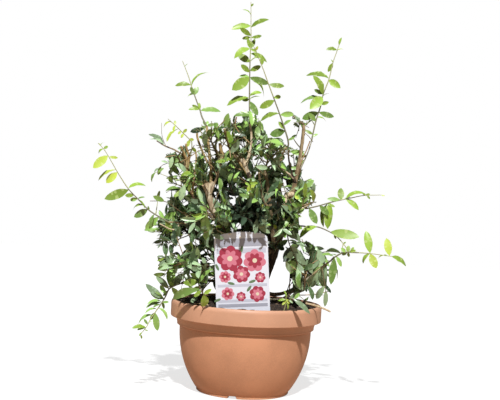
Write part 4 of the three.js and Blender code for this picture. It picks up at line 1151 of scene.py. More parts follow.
def crumb(name, size, flat, seed):
    """A lump with an uneven surface, about size across."""
    mesh = bpy.data.meshes.new(name)
    shape = bmesh.new()
    bmesh.ops.create_icosphere(shape, subdivisions=2, radius=size / 2)
    for vertex in shape.verts:
        swell = 1 + 0.45 * noise.noise(vertex.co * (3.2 / size) + Vector((seed, 0, 0)))
        vertex.co = Vector((vertex.co.x * swell, vertex.co.y * swell * 0.8, vertex.co.z * swell * flat))
    shape.to_mesh(mesh)
    shape.free()
    mesh.shade_smooth()
    return linked(name, mesh)


def fibre(name, length, radius, bend):
    """A dry fibre or straw, a little bent, lying along X."""
    rings = []
    for row in range(9):
        share = row / 8
        thick = radius * (1 - 0.4 * abs(2 * share - 1))
        middle = Vector(((share - 0.5) * length, bend * math.sin(math.pi * share), radius))
        angles = [math.tau * side / 5 for side in range(5)]
        rings.append([middle + Vector((0, math.cos(angle), math.sin(angle))) * thick for angle in angles])
    return mesh_piece(name, *lofted(rings))


class POMEGRANATE_OT_soil(bpy.types.Operator):
    """Fills the pot with lumpy compost and strews crumbs, chips and dry fibres over it"""

    bl_idname = "pomegranate.soil"
    bl_label = "Compost"

    def bare(self, place, edge):
        """Nothing is strewn at the pot's wall or in the strip before the card."""
        before_card = place.y < CARD["depth"] + 2 and abs(place.x - CARD["centre"]) < CARD["width"] / 2 + 2
        return before_card or math.hypot(place.x, place.y) > edge - 2

    def execute(self, context):
        clod = settings().clod
        edge = INSIDE - WALL_GAP
        below = [(point.x * MM, point.y * MM) for point in rounded(inside_profile(WALL_GAP))]
        top = [(radius * MM, lambda x, y: soil_height(x, y, clod)) for radius in np.linspace(edge, 0, 64)]
        points, faces = turned_mesh(below + top, 200)
        soil = mesh_piece("soil_bed", points, faces, compost_finish())
        finish_piece(soil, "soil", "soil")
        top_only = bmesh.new()
        top_only.from_mesh(soil.data)
        low = [face for face in top_only.faces
               if face.normal.z < 0.3 or self.bare(face.calc_center_median() / MM, edge)]
        bmesh.ops.delete(top_only, geom=low, context="FACES")
        bed = bpy.data.meshes.new("bed")
        top_only.to_mesh(bed)
        top_only.free()
        strewn = (
            ("soil_crumbs", crumb("crumb", 0.0042, 0.7, 1), 16000, 0.5, 1.5, 1.2,
             bits_finish("crumb", (0.012, 0.008, 0.006), (0.05, 0.032, 0.022))),
            ("soil_chips", crumb("chip", 0.005, 0.35, 5), 900, 0.5, 1.5, 0.5,
             bits_finish("bark chip", (0.09, 0.05, 0.03), (0.2, 0.13, 0.08))),
            ("soil_grit", crumb("grit", 0.0042, 0.8, 9), 160, 0.6, 1.4, 0.8,
             bits_finish("pale grit", (0.38, 0.3, 0.22), (0.62, 0.54, 0.42))),
            ("soil_fibres", fibre("fibre", 0.024, 0.0004, 0.003), 1300, 0.4, 1.2, 0.16,
             bits_finish("fibre", (0.06, 0.035, 0.02), (0.2, 0.13, 0.07))),
        )
        for number, (name, bit, density, least, most, tilt, finish) in enumerate(strewn):
            source = linked("bed", bed.copy())
            piece = scattered_bits_tree().run(source, {
                "Bit": bit, "Density": float(density), "Least size": least, "Most size": most,
                "Tilt": tilt, "Seed": settings().seed + number}, [finish], name)
            bpy.data.objects.remove(bit)
            finish_piece(piece, "soil")
        straw = Wood()
        for start, tip, bow, thick in STRAWS:
            path = Path(mm(start), mm(tip), mm(bow), (thick * MM, thick * 0.8 * MM))
            straw.add(*path.run(8))
        piece = straw.build("soil_straw", 6, 0.0002, 300.0,
                            [bits_finish("straw", (0.36, 0.25, 0.14), (0.62, 0.5, 0.32))])
        finish_piece(piece, "soil")
        return {"FINISHED"}


# Start, tip, bow and radius of each straw in mm.
STRAWS = (
    ((110, -72, 182), (156, -82, 170), (0, 0, 2), 2.2),
    ((-70, -104, 172), (-98, -92, 173), (2, 6, 1), 0.8),
    ((-84, -96, 176), (-70, -101, 172), (0, 0, 1), 1.5),
    ((-20, 96, 171), (26, 108, 173), (0, 5, 2), 0.9),
    ((84, 60, 171), (60, 92, 173), (4, 2, 1), 0.8),
)


class POMEGRANATE_OT_card(bpy.types.Operator):
    """Stands the plant's card in the compost and prints plain blossoms on it"""

    bl_idname = "pomegranate.card"
    bl_label = "Card"

    def outline(self, inset):
        """The card's outline from its foot up, shrunk by inset."""
        half = CARD["width"] / 2 - inset
        top = CARD["top"] - CARD["foot"] - inset
        corner = CARD["corner"]
        points = [Vector((-half, inset)), Vector((half, inset))]
        for step in range(9):
            angle = math.pi / 2 * step / 8
            points.append(Vector((half - corner + corner * math.cos(angle),
                                  top - CARD["arch"] - corner + corner * math.sin(angle))))
        for step in range(1, 16):
            share = 1 - 2 * step / 16
            x = share * (half - corner)
            points.append(Vector((x, top - CARD["arch"] + CARD["arch"] * (1 - share * share))))
        points.extend(Vector((-point.x, point.y)) for point in reversed(points[2:11]))
        return points

    def stand(self, points, depth):
        """Points of the upright card's plane put in place, so far in front of it."""
        lean = math.radians(CARD["lean"])
        placed = []
        for point in points:
            x = point.x * math.cos(lean) - point.y * math.sin(lean) + CARD["centre"]
            z = point.x * math.sin(lean) + point.y * math.cos(lean) + CARD["foot"]
            placed.append(mm((x, CARD["depth"] - depth, z)))
        return placed

    def plate(self, *outlines):
        """A closed solid through outlines and their depths, back to front."""
        return lofted([self.stand(outline, depth) for outline, depth in outlines])

    def execute(self, context):
        half = CARD["thickness"] / 2
        points, faces = self.plate((self.outline(CARD_BEVEL), -half), (self.outline(0), CARD_BEVEL - half),
                                   (self.outline(0), half - CARD_BEVEL), (self.outline(CARD_BEVEL), half))
        board = ink_finish("card board", settings().board)
        finish_piece(mesh_piece("card_board", points, faces, board, smooth=False), "card", "plant_card")
        lift = settings().print_lift / MM
        inks = dict(CARD_INKS, crimson=settings().dark_petal, pink=settings().light_petal)
        for ink, colour in inks.items():
            points = []
            faces = []
            for own, level, shape in card_shapes():
                if own == ink:
                    placed, sides = self.plate((shape, half - SUNK), (shape, half + lift + level * LEVEL))
                    faces.extend(tuple(len(points) + i for i in face) for face in sides)
                    points.extend(placed)
            finish = ink_finish(f"ink {ink}", colour)
            finish_piece(mesh_piece(f"card_print_{ink}", points, faces, finish, smooth=False), "card")
        return {"FINISHED"}


CARD_BEVEL = 0.25
SUNK = 0.1  # how deep a print's foot lies in the board
LEVEL = 0.02  # the way between two levels of print
CARD_INKS = {
    "lavender": (0.36, 0.37, 0.44), "haze": (0.52, 0.54, 0.64), "cream": (0.72, 0.62, 0.47),
    "green": (0.12, 0.2, 0.1),
}
BANDS = (
    ("lavender", 134, 149), ("haze", 122, 131), ("haze", 61, 66), ("lavender", 24, 30), ("haze", 33, 38),
)
HALF_BAND = 45
PETALS = 7
# Middle, size, and the inks of the outer and the inner petals.
BLOSSOMS = (
    (-21, 113, 24, "crimson", "pink"), (24, 108, 21, "pink", "crimson"), (-1, 84, 16, "crimson", "pink"),
    (-31, 80, 11, "pink", "crimson"), (33, 77, 10, "crimson", "pink"), (27, 47, 15, "crimson", "pink"),
    (-27, 49, 12, "pink", "crimson"), (-3, 43, 9, "crimson", "pink"),
)
PRINTED_LEAVES = ((0, 123, 1.4), (-42, 92, 2), (12, 68, 0.3), (-14, 66, 2.9), (8, 52, 0.9), (-40, 40, 3.5))


def rectangle(x0, y0, x1, y1):
    return [Vector((x0, y0)), Vector((x1, y0)), Vector((x1, y1)), Vector((x0, y1))]


def petal(centre, angle, length, width):
    """A pointed oval from centre outwards."""
    along = Vector((math.cos(angle), math.sin(angle)))
    across = Vector((-along.y, along.x))
    points = []
    for step in range(14):
        turn = math.tau * step / 14
        reach = (1 - math.cos(turn)) / 2
        points.append(centre + along * (length * reach) + across * (width / 2 * math.sin(turn)) * -1)
    return points


def disc(centre, radius, count=20):
    angles = [math.tau * i / count for i in range(count)]
    return [centre + Vector((math.cos(angle), math.sin(angle))) * radius for angle in angles]


def card_shapes():
    """Bands and plain blossoms of this model's own layout, in mm from the middle of the card's foot.

    Each has its ink and its level: shapes that overlap lie on levels of their own.
    """
    shapes = [(ink, 0, rectangle(-HALF_BAND, low, HALF_BAND, high)) for ink, low, high in BANDS]
    for x, y, size, outer, inner in BLOSSOMS:
        centre = Vector((x, y))
        for k in range(PETALS):
            turn = math.tau * k / PETALS + x
            shapes.append((outer, 1 + k, petal(centre, turn, size, size * 0.82)))
            turn += math.tau / PETALS / 2
            shapes.append((inner, 1 + PETALS + k, petal(centre, turn, size * 0.68, size * 0.4)))
        shapes.append(("cream", 1 + 2 * PETALS, disc(centre, size * 0.2)))
    for x, y, angle in PRINTED_LEAVES:
        shapes.append(("green", 1, petal(Vector((x, y)), angle, 13, 5)))
    return shapes


class POMEGRANATE_OT_wood(bpy.types.Operator):
    """Grows the furrowed trunk, the boughs and their sawn-off stubs along the frame's limbs"""

    bl_idname = "pomegranate.wood"
    bl_label = "Trunk and boughs"

    def trunk(self, path):
        """The trunk from below the compost up, with a flared foot and a rounded head."""
        foot = path.start - path.heading(0) * ROOTED
        rooted = Path(foot, path.tip, STRAIGHT, path.radii)
        steps = 110
        points, radii = rooted.run(steps)
        for step in range(steps + 1):
            share = step / steps
            points[step] += noise.noise_vector(Vector((share * 3.1, 7, 2))) * WANDER
            lump = 1 + 0.07 * noise.noise(Vector((share * 7, 1, 5)))
            flare = FLARE * max(0, 1 - share / 0.34) ** 2
            head = math.sqrt(max(0.02, 1 - max(0, (share - 0.93) / 0.07) ** 2))
            radii[step] = (radii[step] * lump + flare) * head
        return points, radii

    def bough(self, name, path):
        """A bough with a collar where it leaves its parent, knots, and a slight wander."""
        steps = max(14, int(path.length / 0.003))
        offset = sum(map(ord, name)) % 97
        points, radii = path.run(steps)
        for step in range(steps + 1):
            share = step / steps
            wander = noise.noise_vector(Vector((share * path.length * 22, offset, 0)))
            collar = COLLAR * max(0, 1 - share * path.length / 0.022) ** 2
            knots = KNOTS * noise.noise(Vector((share * path.length * 60, offset, 9)))
            points[step] += wander * WANDER * math.sin(math.pi * share)
            radii[step] *= 1 + collar + knots
        return points, radii

    def execute(self, context):
        noise.seed_set(settings().seed)  # or the wood would stray in another way each time
        paths = limb_paths()
        barks = [bark_finish(f"{name} bark", furrow, ridge or settings().bark, worn)
                 for name, (furrow, ridge, worn) in BARKS.items()]
        trunk = Wood()
        trunk.add(*self.trunk(paths["trunk"]))
        piece = trunk.build("trunk_bark", 96, settings().fissure * 2.6, 190.0, barks[:1])
        finish_piece(piece, "trunk", "trunk")
        names = [name for name in paths if name != "trunk"]
        boughs = Wood([*BARKS, "cut"])
        for name in names:
            path = paths[name]
            points, sizes = self.bough(f"bough_{name}", path)
            relief = min(1, path.radii[0] / 0.006)
            low, change, high, girth = BOUGH_BARKS.get(name, ("brown", 1, "brown", 1))
            sizes = [size * lerp(1, girth, min(1, 3 * k / len(sizes))) for k, size in enumerate(sizes)]
            turn = round(change * (len(points) - 1))
            if turn > 1:
                boughs.add(points[:turn + 1], sizes[:turn + 1], low, relief)
            if turn < len(points) - 1:
                boughs.add(points[turn:], sizes[turn:], high, relief)
        for name, path in own_twigs(paths).items():
            bark = OWN_TWIGS[name][4]
            if path.radii[0] < STUB_RADIUS or bark not in BARKS:
                continue
            points, sizes = self.bough(name, path)
            boughs.add(points, sizes, bark, 0.6)
            end = path.heading(0.97)
            rim = sizes[-1] * 0.93
            boughs.add([points[-1] + end * rise for rise in (-0.001, 0.0004, 0.0007)],
                       [rim, rim, rim * 0.86], "cut", 0.2)
        piece = boughs.build("boughs", 20, settings().fissure, 330.0, [*barks, cut_finish()])
        finish_piece(piece, "bough", *[f"bough_{name}" for name in names])
        return {"FINISHED"}


# In metres: how far the trunk goes down into the compost, how much thicker its foot is, and how far wood
# strays from its line. Then how much thicker a bough's collar and its knots are, as shares.
ROOTED = 0.012
FLARE = 0.0065
WANDER = 0.0012
COLLAR = 0.45
KNOTS = 0.12
# Furrow, ridge and worn patches of each bark. The trunk's ridges take the settings' colour.
BARKS = {
    "dark": ((0.016, 0.009, 0.006), None, (0.16, 0.11, 0.075)),
    "brown": ((0.07, 0.042, 0.024), (0.24, 0.155, 0.09), (0.4, 0.3, 0.19)),
    "tan": ((0.2, 0.13, 0.07), (0.4, 0.3, 0.16), (0.54, 0.44, 0.27)),
    "orange": ((0.33, 0.21, 0.08), (0.54, 0.38, 0.15), (0.64, 0.5, 0.26)),
    "grey": ((0.12, 0.1, 0.06), (0.36, 0.33, 0.22), (0.5, 0.47, 0.34)),
    "cream": ((0.42, 0.3, 0.18), (0.7, 0.58, 0.39), (0.78, 0.68, 0.5)),
}
# Boughs that change bark: up to which share of their length, to what, and how thick they are in the end.
BOUGH_BARKS = {
    "left": ("dark", 0.7, "cream", 1), "centre": ("dark", 0.8, "cream", 0.85),
    "leader": ("cream", 1, "cream", 0.8), "right": ("brown", 0.42, "tan", 0.85),
    "left_upper": ("cream", 0.16, "orange", 1.1), "left_inner": ("cream", 0.3, "tan", 0.8),
    "left_outer": ("brown", 0.9, "tan", 0.8), "right_shoot": ("grey", 0.6, "tan", 0.75),
    "right_low": ("grey", 0.7, "grey", 0.45), "inner": ("brown", 0.1, "tan", 1.2),
    "right_mid": ("tan", 0.3, "cream", 0.7), "left_far": ("brown", 0.7, "tan", 0.8),
    "right_fork": ("dark", 0.5, "brown", 0.6), "right_spur": ("brown", 0.2, "grey", 0.5),
    "right_arch": ("dark", 0.5, "brown", 0.6),
}
STUB_RADIUS = 0.00195  # a twig of its own that is thinner than this is no stub


def own_twigs(paths):
    """The twigs and stubs that stand out, each grown from a limb or from an earlier one."""
    ways = {}
    for name, (carrier, share, depth, radii, _, places) in OWN_TWIGS.items():
        start = {**paths, **ways}[carrier].at(share) if carrier else mm(share)
        ways[name] = Way(start, depth, places, [radius * MM for radius in radii])
    return ways


# ------------------------------------------------------------------ the crown
# For each tone: screen colour of the underside, roughness, and how far its shades lie apart. The shadow
# tone is painted shade, for leaves in the crown's hollows.
TONES = {
    "shadow": ((69, 86, 65), 0.36, 0.37), "deep": ((102, 124, 91), 0.28, 0.36),
    # grey: the leaves' own dull grey-green; its lighter shade is partly a painted sheen of sky on glossy
    # leaves.
    "grey": ((142, 166, 130), 0.26, 0.21), "green": ((148, 174, 106), 0.3, 0.17),
    "fresh": ((164, 184, 106), 0.4, 0.12), "tips": ((192, 208, 116), 0.42, 0.08),
}
# The age up to which a leaf has each tone.
TONE_LIMITS = (
    ("shadow", -0.5), ("deep", 0.14), ("grey", 0.34), ("green", 0.56), ("fresh", 0.86), ("tips", 9),
)
# Twig colours. dark is painted shade, given only to twigs that show in the crown's hollows.
TWIG_SHADES = {
    "dark": shade(60, 48, 36), "olive": shade(118, 118, 82), "brown": shade(108, 92, 64),
    "tan": shade(172, 142, 104), "grey": shade(132, 130, 104), "lime": shade(172, 174, 120),
    "orange": shade(184, 148, 90), "cream": shade(226, 208, 172),
}


def three_shades(colour, apart):
    """A colour, and a lighter and a darker shade of it."""
    return [tuple(part * step ** 2.2 for part in colour) for step in (1, 1 + apart, 1 / (1 + apart))]


def leaf_shape(name, fold, bend, twist, wave):
    """A leaf of length 1 along Y with a short stalk, face up, closed and thin, in its own outline."""
    rows = 7
    thick = 0.008
    middle = Vector((0, 0, 0))
    points = [middle]
    shares = [(row / rows) ** 0.92 for row in range(rows + 1)]
    for row in range(1, rows):
        share = shares[row]
        onward = Vector((0, math.cos(bend * share), -math.sin(bend * share)))
        middle = middle + onward * (share - shares[row - 1])
        blade = max(0, (share - 0.07) / 0.93)
        half = max(0.016, settings().leaf_width / 2 * math.sin(math.pi * blade ** 0.94) ** 0.6)
        across = Vector((math.cos(twist * share), 0, math.sin(twist * share)))
        for side in (-1, 0, 1):
            rise = abs(side) * (fold + wave * math.sin(row * 2.1 + side))
            points.append(middle + across * (side * half) + UP * (rise * half))
        points.append(middle - UP * thick)
    tip = len(points)
    points.append(middle + Vector((0, math.cos(bend), -math.sin(bend))) * (1 - shares[rows - 1]))
    faces = []
    last = (rows - 2) * 4
    for left, rib, right in ((1, 2, 3), (3, 4, 1)):
        for one, other in ((left, rib), (rib, right)):
            faces.append((0, other, one))
            faces.extend((one + low, other + low, other + low + 4, one + low + 4)
                         for low in range(0, last, 4))
            faces.append((tip, one + last, other + last))
    leaf = mesh_piece(name, points, faces)
    layer_of = [UPPER] * (len(faces) // 2) + [UNDER] * (len(faces) // 2)
    leaf.data.attributes.new("layer", "INT", "FACE").data.foreach_set("value", layer_of)
    margin = {0, tip, *range(1, tip, 4), *range(3, tip, 4)}
    sharp = [set(edge.vertices) <= margin for edge in leaf.data.edges]
    leaf.data.attributes.new("sharp_edge", "BOOLEAN", "EDGE").data.foreach_set("value", sharp)
    return leaf


# From which share of these boughs on nothing may hide them.
SHOWN_BOUGHS = {
    "left": 0.72, "centre": 0.8, "leader": 0.02, "right": 0.46, "inner": 0.15, "left_upper": 0.3,
    "right_shoot": 0.3, "right_low": 0.6, "right_mid": 0.7,
}
# Places of the rim that stay in the sun: x, y, z and radius in mm.
LIT_RIM = ((-141, -36, 160, 11), (-134, -56, 160, 11), (-110, -94, 160, 8))
STEM_GAP = 0.3 * MM  # between a bough's tip and the stem that goes on from it
UPPER = 0  # the number of the first finish of a leaf's upper side
UNDER = 3  # and of its underside
MOST_DEALT = 997  # shades are dealt out from a number below this
IN_SHADE = -1  # the age of a leaf in a hollow
TWIG_RELIEF = 0.3
LEAF_PARTS = (1, 0.82, 0.66)  # a leaf that shows where none may is tried smaller
LEAF_TESTS = ((0.2, 0.3), (0.5, 0.9), (0.75, 0.7), (0.97, 0.2))  # share of a leaf, and margin in steps
TWIG_MARGIN = 0.4  # the margin for a twig's tip
# How far from its root's place a leaf's twig may show: the frontmost within the first, the nearest within
# the second, in steps.
NEAR_STEPS = 4
FAR_STEPS = 9


class FrontView:
    """What the front view asks of the crown: its outline, its openings, and what nothing may hide."""

    def __init__(self):
        self.openings = np.array(OPENINGS)
        self.corners = np.array(CROWN_OUTLINE, dtype=float)
        self.after = np.roll(self.corners, -1, axis=0)
        self.rows = []
        self.kept = np.zeros((0, 4))
        self.lit = np.array(LIT_RIM) * MM
        self.sunward = np.array(tuple(Vector(settings().sunlight).normalized()))

    def keep(self, points, radii):
        """Nothing that grows later may stand in front of these points, each as wide as its radius."""
        for point, radius in zip(points, radii):
            self.rows.append((*seen_at(point), radius / STEP, point.y))
        self.kept = np.array(self.rows)

    def keep_lit(self, path, share):
        """Nothing may stand before this wood from that share on, nor between it and the sun."""
        points, radii = path.run(12, share)
        self.keep(points, radii)
        self.lit = np.vstack([self.lit, [(*point, radius) for point, radius in zip(points, radii)]])

    @staticmethod
    def in_hollow(point):
        across, down = seen_at(point)
        away = (HOLLOWS[:, :2] - (across, down)) / HOLLOWS[:, 2:]
        return (away ** 2).sum(1).min() < 1

    def bars(self, point, margin):
        """Whether a point shows outside the crown, in an opening, or in front of what is kept in view."""
        across, down = seen_at(point)
        low, high = self.corners, self.after
        crossed = (low[:, 1] > down) != (high[:, 1] > down)
        run = (down - low[crossed, 1]) / (high[crossed, 1] - low[crossed, 1])
        edges = low[crossed, 0] + run * (high[crossed, 0] - low[crossed, 0])
        if (edges > across).sum() % 2 == 0:
            return True
        gaps = self.openings
        far = ((across - gaps[:, 0]) / (gaps[:, 2] + margin)) ** 2
        far += ((down - gaps[:, 1]) / (gaps[:, 3] + margin)) ** 2
        if far.min() < 1:
            return True
        away = np.array(tuple(point)) - self.lit[:, :3]
        towards = away @ self.sunward
        beside = (away ** 2).sum(1) - towards ** 2
        if ((towards > 0) & (beside < (self.lit[:, 3] + margin * STEP) ** 2)).any():
            return True
        kept = self.kept
        near = (kept[:, 0] - across) ** 2 + (kept[:, 1] - down) ** 2 < (kept[:, 2] + margin) ** 2
        return bool((near & (point.y < kept[:, 3])).any())


class Crown:
    """The masses' spaces: where a leaf or twig of each may lie."""

    def __init__(self, paths, stems):
        self.seeds = np.array([[tuple(stem.at(share)) for share in SEED_SHARES] for stem in stems])
        low = []
        high = []
        radii = []
        for path in paths.values():
            count = max(2, round(path.length / 0.042))
            for step in range(count):
                low.append(tuple(path.at(step / count)))
                high.append(tuple(path.at((step + 1) / count)))
                radii.append(path.radius(step / count) + 0.0012)
        self.low = np.array(low)
        self.way = np.array(high) - self.low
        self.limb_radii = np.array(radii)

    def holds(self, index, points, reach):
        places = np.array([tuple(point) for point in points])
        own = self.seeds[index]
        ways = own[1:] - own[:-1]
        for place in places:
            away = own - place
            nearest = int(np.argmin((away ** 2).sum(1)))
            own_square = (away[nearest] ** 2).sum()
            along = ((place - own[:-1]) * ways).sum(1) / (ways ** 2).sum(1)
            foot = own[:-1] + np.clip(along, 0, 1)[:, None] * ways
            if np.sqrt(((place - foot) ** 2).sum(1)).min() > reach:
                return False
            square = ((self.seeds - place) ** 2).sum(2)
            apart = np.sqrt(((self.seeds - own[nearest]) ** 2).sum(2))
            beyond = (square - own_square) / (2 * np.maximum(apart, 1e-6))
            beyond[index] = 1
            if beyond.min() < -FINE["overlap"]:
                return False
            over_pot = math.hypot(place[0], place[1]) < RIM["radius"] * MM + RIM_CLEARANCE
            if place[2] < (POT_HEIGHT * MM + RIM_CLEARANCE if over_pot else LOWEST):
                return False
            if place[1] < CAD_BOX[0][1] or self.hides_card(place):
                return False
        return True

    def hides_card(self, place):
        across, down = seen_at(Vector(place))
        in_front = place[1] < (CARD["depth"] + 4) * MM
        over = abs(across - CARD_VIEW[0]) < CARD_VIEW[2] and abs(down - CARD_VIEW[1]) < CARD_VIEW[3]
        return over and in_front

    def clear(self, start, end, radius):
        """Whether a straight stretch passes no limb nearer than radius."""
        way = np.array(tuple(end - start))
        apart = self.low - np.array(tuple(start))
        uu = way @ way
        vv = (self.way ** 2).sum(1)
        uv = self.way @ way
        uw = apart @ way
        vw = (apart * self.way).sum(1)
        det = uu * vv - uv * uv
        s = np.clip(np.where(det > 1e-12, (uw * vv - uv * vw) / np.maximum(det, 1e-12), 0), 0, 1)
        t = np.clip((uv * s - vw) / vv, 0, 1)
        s = np.clip((uv * t + uw) / uu, 0, 1)
        gap = s[:, None] * way - (apart + t[:, None] * self.way)
        return bool((np.sqrt((gap ** 2).sum(1)) > self.limb_radii + radius).all())


class POMEGRANATE_OT_foliage(bpy.types.Operator):
    """Grows stems, twigs, spurs and leaf sprays on from the boughs by the source's rule"""

    bl_idname = "pomegranate.foliage"
    bl_label = "Twigs and leaves"

    # name, fold along the rib, bend along the length, twist and waviness
    KINDS = (
        ("leaf_a", 0.15, 0.2, 0.1, 0.08), ("leaf_b", 0.5, 0.45, -0.2, 0.08),
        ("leaf_c", 0.25, 0.9, 0.3, 0.12), ("leaf_d", 0.1, -0.3, -0.35, 0.1),
        ("leaf_e", 0.9, 0.3, 0.15, 0.05), ("leaf_f", 0.3, 1.4, 0.1, 0.1),
    )

    def place_leaf(self, root, chord, face, width, fresh, kind, dealt):
        """A leaf from root along chord, its bend made up for so that its tip ends there."""
        along = chord.normalized()
        face = (face - along * face.dot(along)).normalized()
        bend = self.KINDS[kind][2] / 2
        blade = along * math.cos(bend) + face * math.sin(bend)
        upper = face * math.cos(bend) - along * math.sin(bend)
        length = chord.length * bend / math.sin(bend)
        widen = length * width / settings().leaf_width
        tone = next(name for name, limit in TONE_LIMITS if fresh < limit)
        size = (widen, length, length)
        self.sprays[tone].add(root, blade.cross(upper), blade, upper, size, kind, dealt % 3)

    def seen_leaf(self, root, place, width, fresh, draws, dealt, depth=None):
        """A leaf whose tip shows at a place in the front view, turned so that it looks width wide."""
        flat = in_space(*place, root.y) - root
        slim = depth is not None
        depth = depth * MM if slim else root.y + draws.spread(-0.6, 1.2) * flat.length
        tip = in_space(*place, max(depth, CAD_BOX[0][1]))
        upward = Vector((-flat.z, 0, flat.x)) if flat.x > 0 else Vector((flat.z, 0, -flat.x))
        real = width * 1.1 if slim else max(settings().leaf_width, width)
        turn = math.asin(width / real)
        face = upward.normalized() * math.cos(turn) + Vector((0, -1, 0)) * math.sin(turn)
        kind = (2, 5, 2)[dealt % 3] if width < 0.3 else (0, 1, 3)[dealt % 3]
        self.place_leaf(root, tip - root, face, real, fresh, kind, dealt)
        half = flat.length * width / 2
        middles = [root.lerp(tip, share) for share in (0.3, 0.5, 0.7)]
        self.front.keep(middles, (half * 0.8, half, half * 0.8))

    def leaf(self, root, blade, size, fresh, roll, draws, dealt):
        """One leaf turned to the light. It is placed once what stands out is settled."""
        outward = (root - CROWN_HEART).normalized()
        face = outward * FACE_OUTWARD + SUN * FACE_SUN
        face = Quaternion(blade, roll) @ (face - blade * face.dot(blade)).normalized()
        width = settings().leaf_width * draws.spread(0.75, 0.35)
        self.waiting.append((root, blade * size, face, width, fresh, dealt % len(self.KINDS), dealt))

    def leaf_pairs(self, index, path, step, size, draws, first, fresh, dealt, reach):
        """Leaf pairs along a twig, each a quarter turn on from the last, and one at its end."""
        nodes = max(1, round((path.length - first) / step))
        for node in range(nodes + 1):
            share = lerp(first, path.length - 0.0008, node / nodes) / path.length
            heading = path.heading(share)
            root = path.at(share)
            last = node == nodes
            for turn in (0, 1):
                side = sideways(heading, dealt + node * math.pi / 2 + turn * math.pi)
                lean = draws.spread(0.45, 0.3) if last else draws.spread(0.75, 0.4)
                blade = (leaning(heading, side, lean) + UP * draws.spread(-0.08, 0.2)).normalized()
                length = size * draws.spread(0.78, 0.4) * (0.88 if last else 1)
                roll = draws.spread(-1.1, 2.2)
                end = root + blade * length
                if (self.crown.holds(index, (end, root.lerp(end, 0.5)), reach)
                        and self.crown.clear(root + blade * 0.001, end, GAP)):
                    number = dealt + node * 2 + turn
                    self.leaf(root, blade, length, fresh + (0.1 if last else 0), roll, draws, number)

    def fits(self, index, root, tip, reach, foot=0.3, gap=GAP):
        """Whether a twig's tip lies where it may, and the twig clear of the limbs but for its foot."""
        return (self.crown.holds(index, (tip,), reach) and not self.front.bars(tip, TWIG_MARGIN)
                and self.crown.clear(root.lerp(tip, foot), tip, gap))

    def twig(self, path, colour):
        # Painted shade: a twig that shows in a hollow takes the dark shade.
        colour = "dark" if self.front.in_hollow(path.at(0.5)) else colour
        points, radii = path.run(max(3, int(path.length / 0.009)))
        self.wood.add(points, radii, colour, TWIG_RELIEF)
        self.hangers.extend(points[1:])
        return points, radii

    def dense_growth(self, index, mass, bough, path, draws):
        """Side twigs a golden angle apart, spurs on each, and leaf pairs on them all."""
        reach = mass["reach"] * MM + 0.004
        count = round(FINE["twigs"] * mass["fill"])
        step = settings().leaf_step * mass["larger"]
        size = settings().leaf_length * mass["larger"]
        for k in range(-FINE["on_bough"], count):
            on_bough = k < 0
            carrier = bough if on_bough else path
            share = lerp(FIRST, 1 - mass["bare_tip"], (k + 0.5) / count)
            share = 1 + k * FINE["bough_step"] if on_bough else share
            heading = carrier.heading(share)
            side = sideways(heading, k * GOLDEN_ANGLE + index)
            direction = leaning(heading, side, math.radians(draws.spread(*OPEN_DEGREES)))
            root = carrier.at(share)
            share = 0 if on_bough else share
            length = (mass["twig"] * MM + FINE["longer"]) * (1 - SHORTENING * share)
            length *= draws.spread(*TWIG_LENGTH)
            rise = UP * (RISE * length)
            tip = root + direction * length + rise
            while length > SHORTEST and not self.fits(index, root, tip, reach):
                length *= SHRINK_STEP
                tip = root + direction * length + rise
            if length <= SHORTEST:
                continue
            bow = sideways(heading, draws.spread(0, math.tau)) * (length * 0.05)
            twig = Path(root, tip, bow, (TWIG["side"], TWIG["spur"]))
            fresh = lerp(*mass["fresh"], share) + draws.spread(-0.2, 0.4)
            height = (tip - CROWN_HEART).length / 0.25
            fresh += 0.18 * (height - 0.6) + mass["younger"]
            self.twig(twig, draws.pick(("olive", "olive", "olive", "brown", "brown", "tan")))
            dealt = int(draws.one() * MOST_DEALT)
            self.leaf_pairs(index, twig, step, size * (1 - 0.12 * share), draws, length * 0.22, fresh,
                            dealt, reach)
            self.spurs(index, twig, size, draws, fresh, reach)
        dealt = int(draws.one() * MOST_DEALT)
        self.leaf_pairs(index, path, step, size, draws, path.length * FIRST, mass["fresh"][1], dealt,
                        reach)

    def spurs(self, index, twig, size, draws, fresh, reach):
        """The finest twigs, along a side twig."""
        count = int(twig.length / FINE["spur_step"])
        for k in range(count):
            share = (k + 0.7) / (count + 0.4)
            heading = twig.heading(share)
            side = sideways(heading, k * GOLDEN_ANGLE * 1.7 + draws.spread(0, 1))
            direction = leaning(heading, side, math.radians(draws.spread(42, 26)))
            root = twig.at(share)
            length = draws.spread(*FINE["spur"])
            tip = root + direction * length
            if self.fits(index, root, tip, reach, 0.4, 0.001):
                spur = Path(root, tip, STRAIGHT, (TWIG["spur"], TWIG["tip"]))
                self.twig(spur, draws.pick(("olive", "olive", "brown", "lime")))
                dealt = int(draws.one() * MOST_DEALT)
                self.leaf_pairs(index, spur, settings().leaf_step, size * 0.92, draws, length * 0.35,
                                fresh + draws.spread(-0.06, 0.2), dealt, reach)

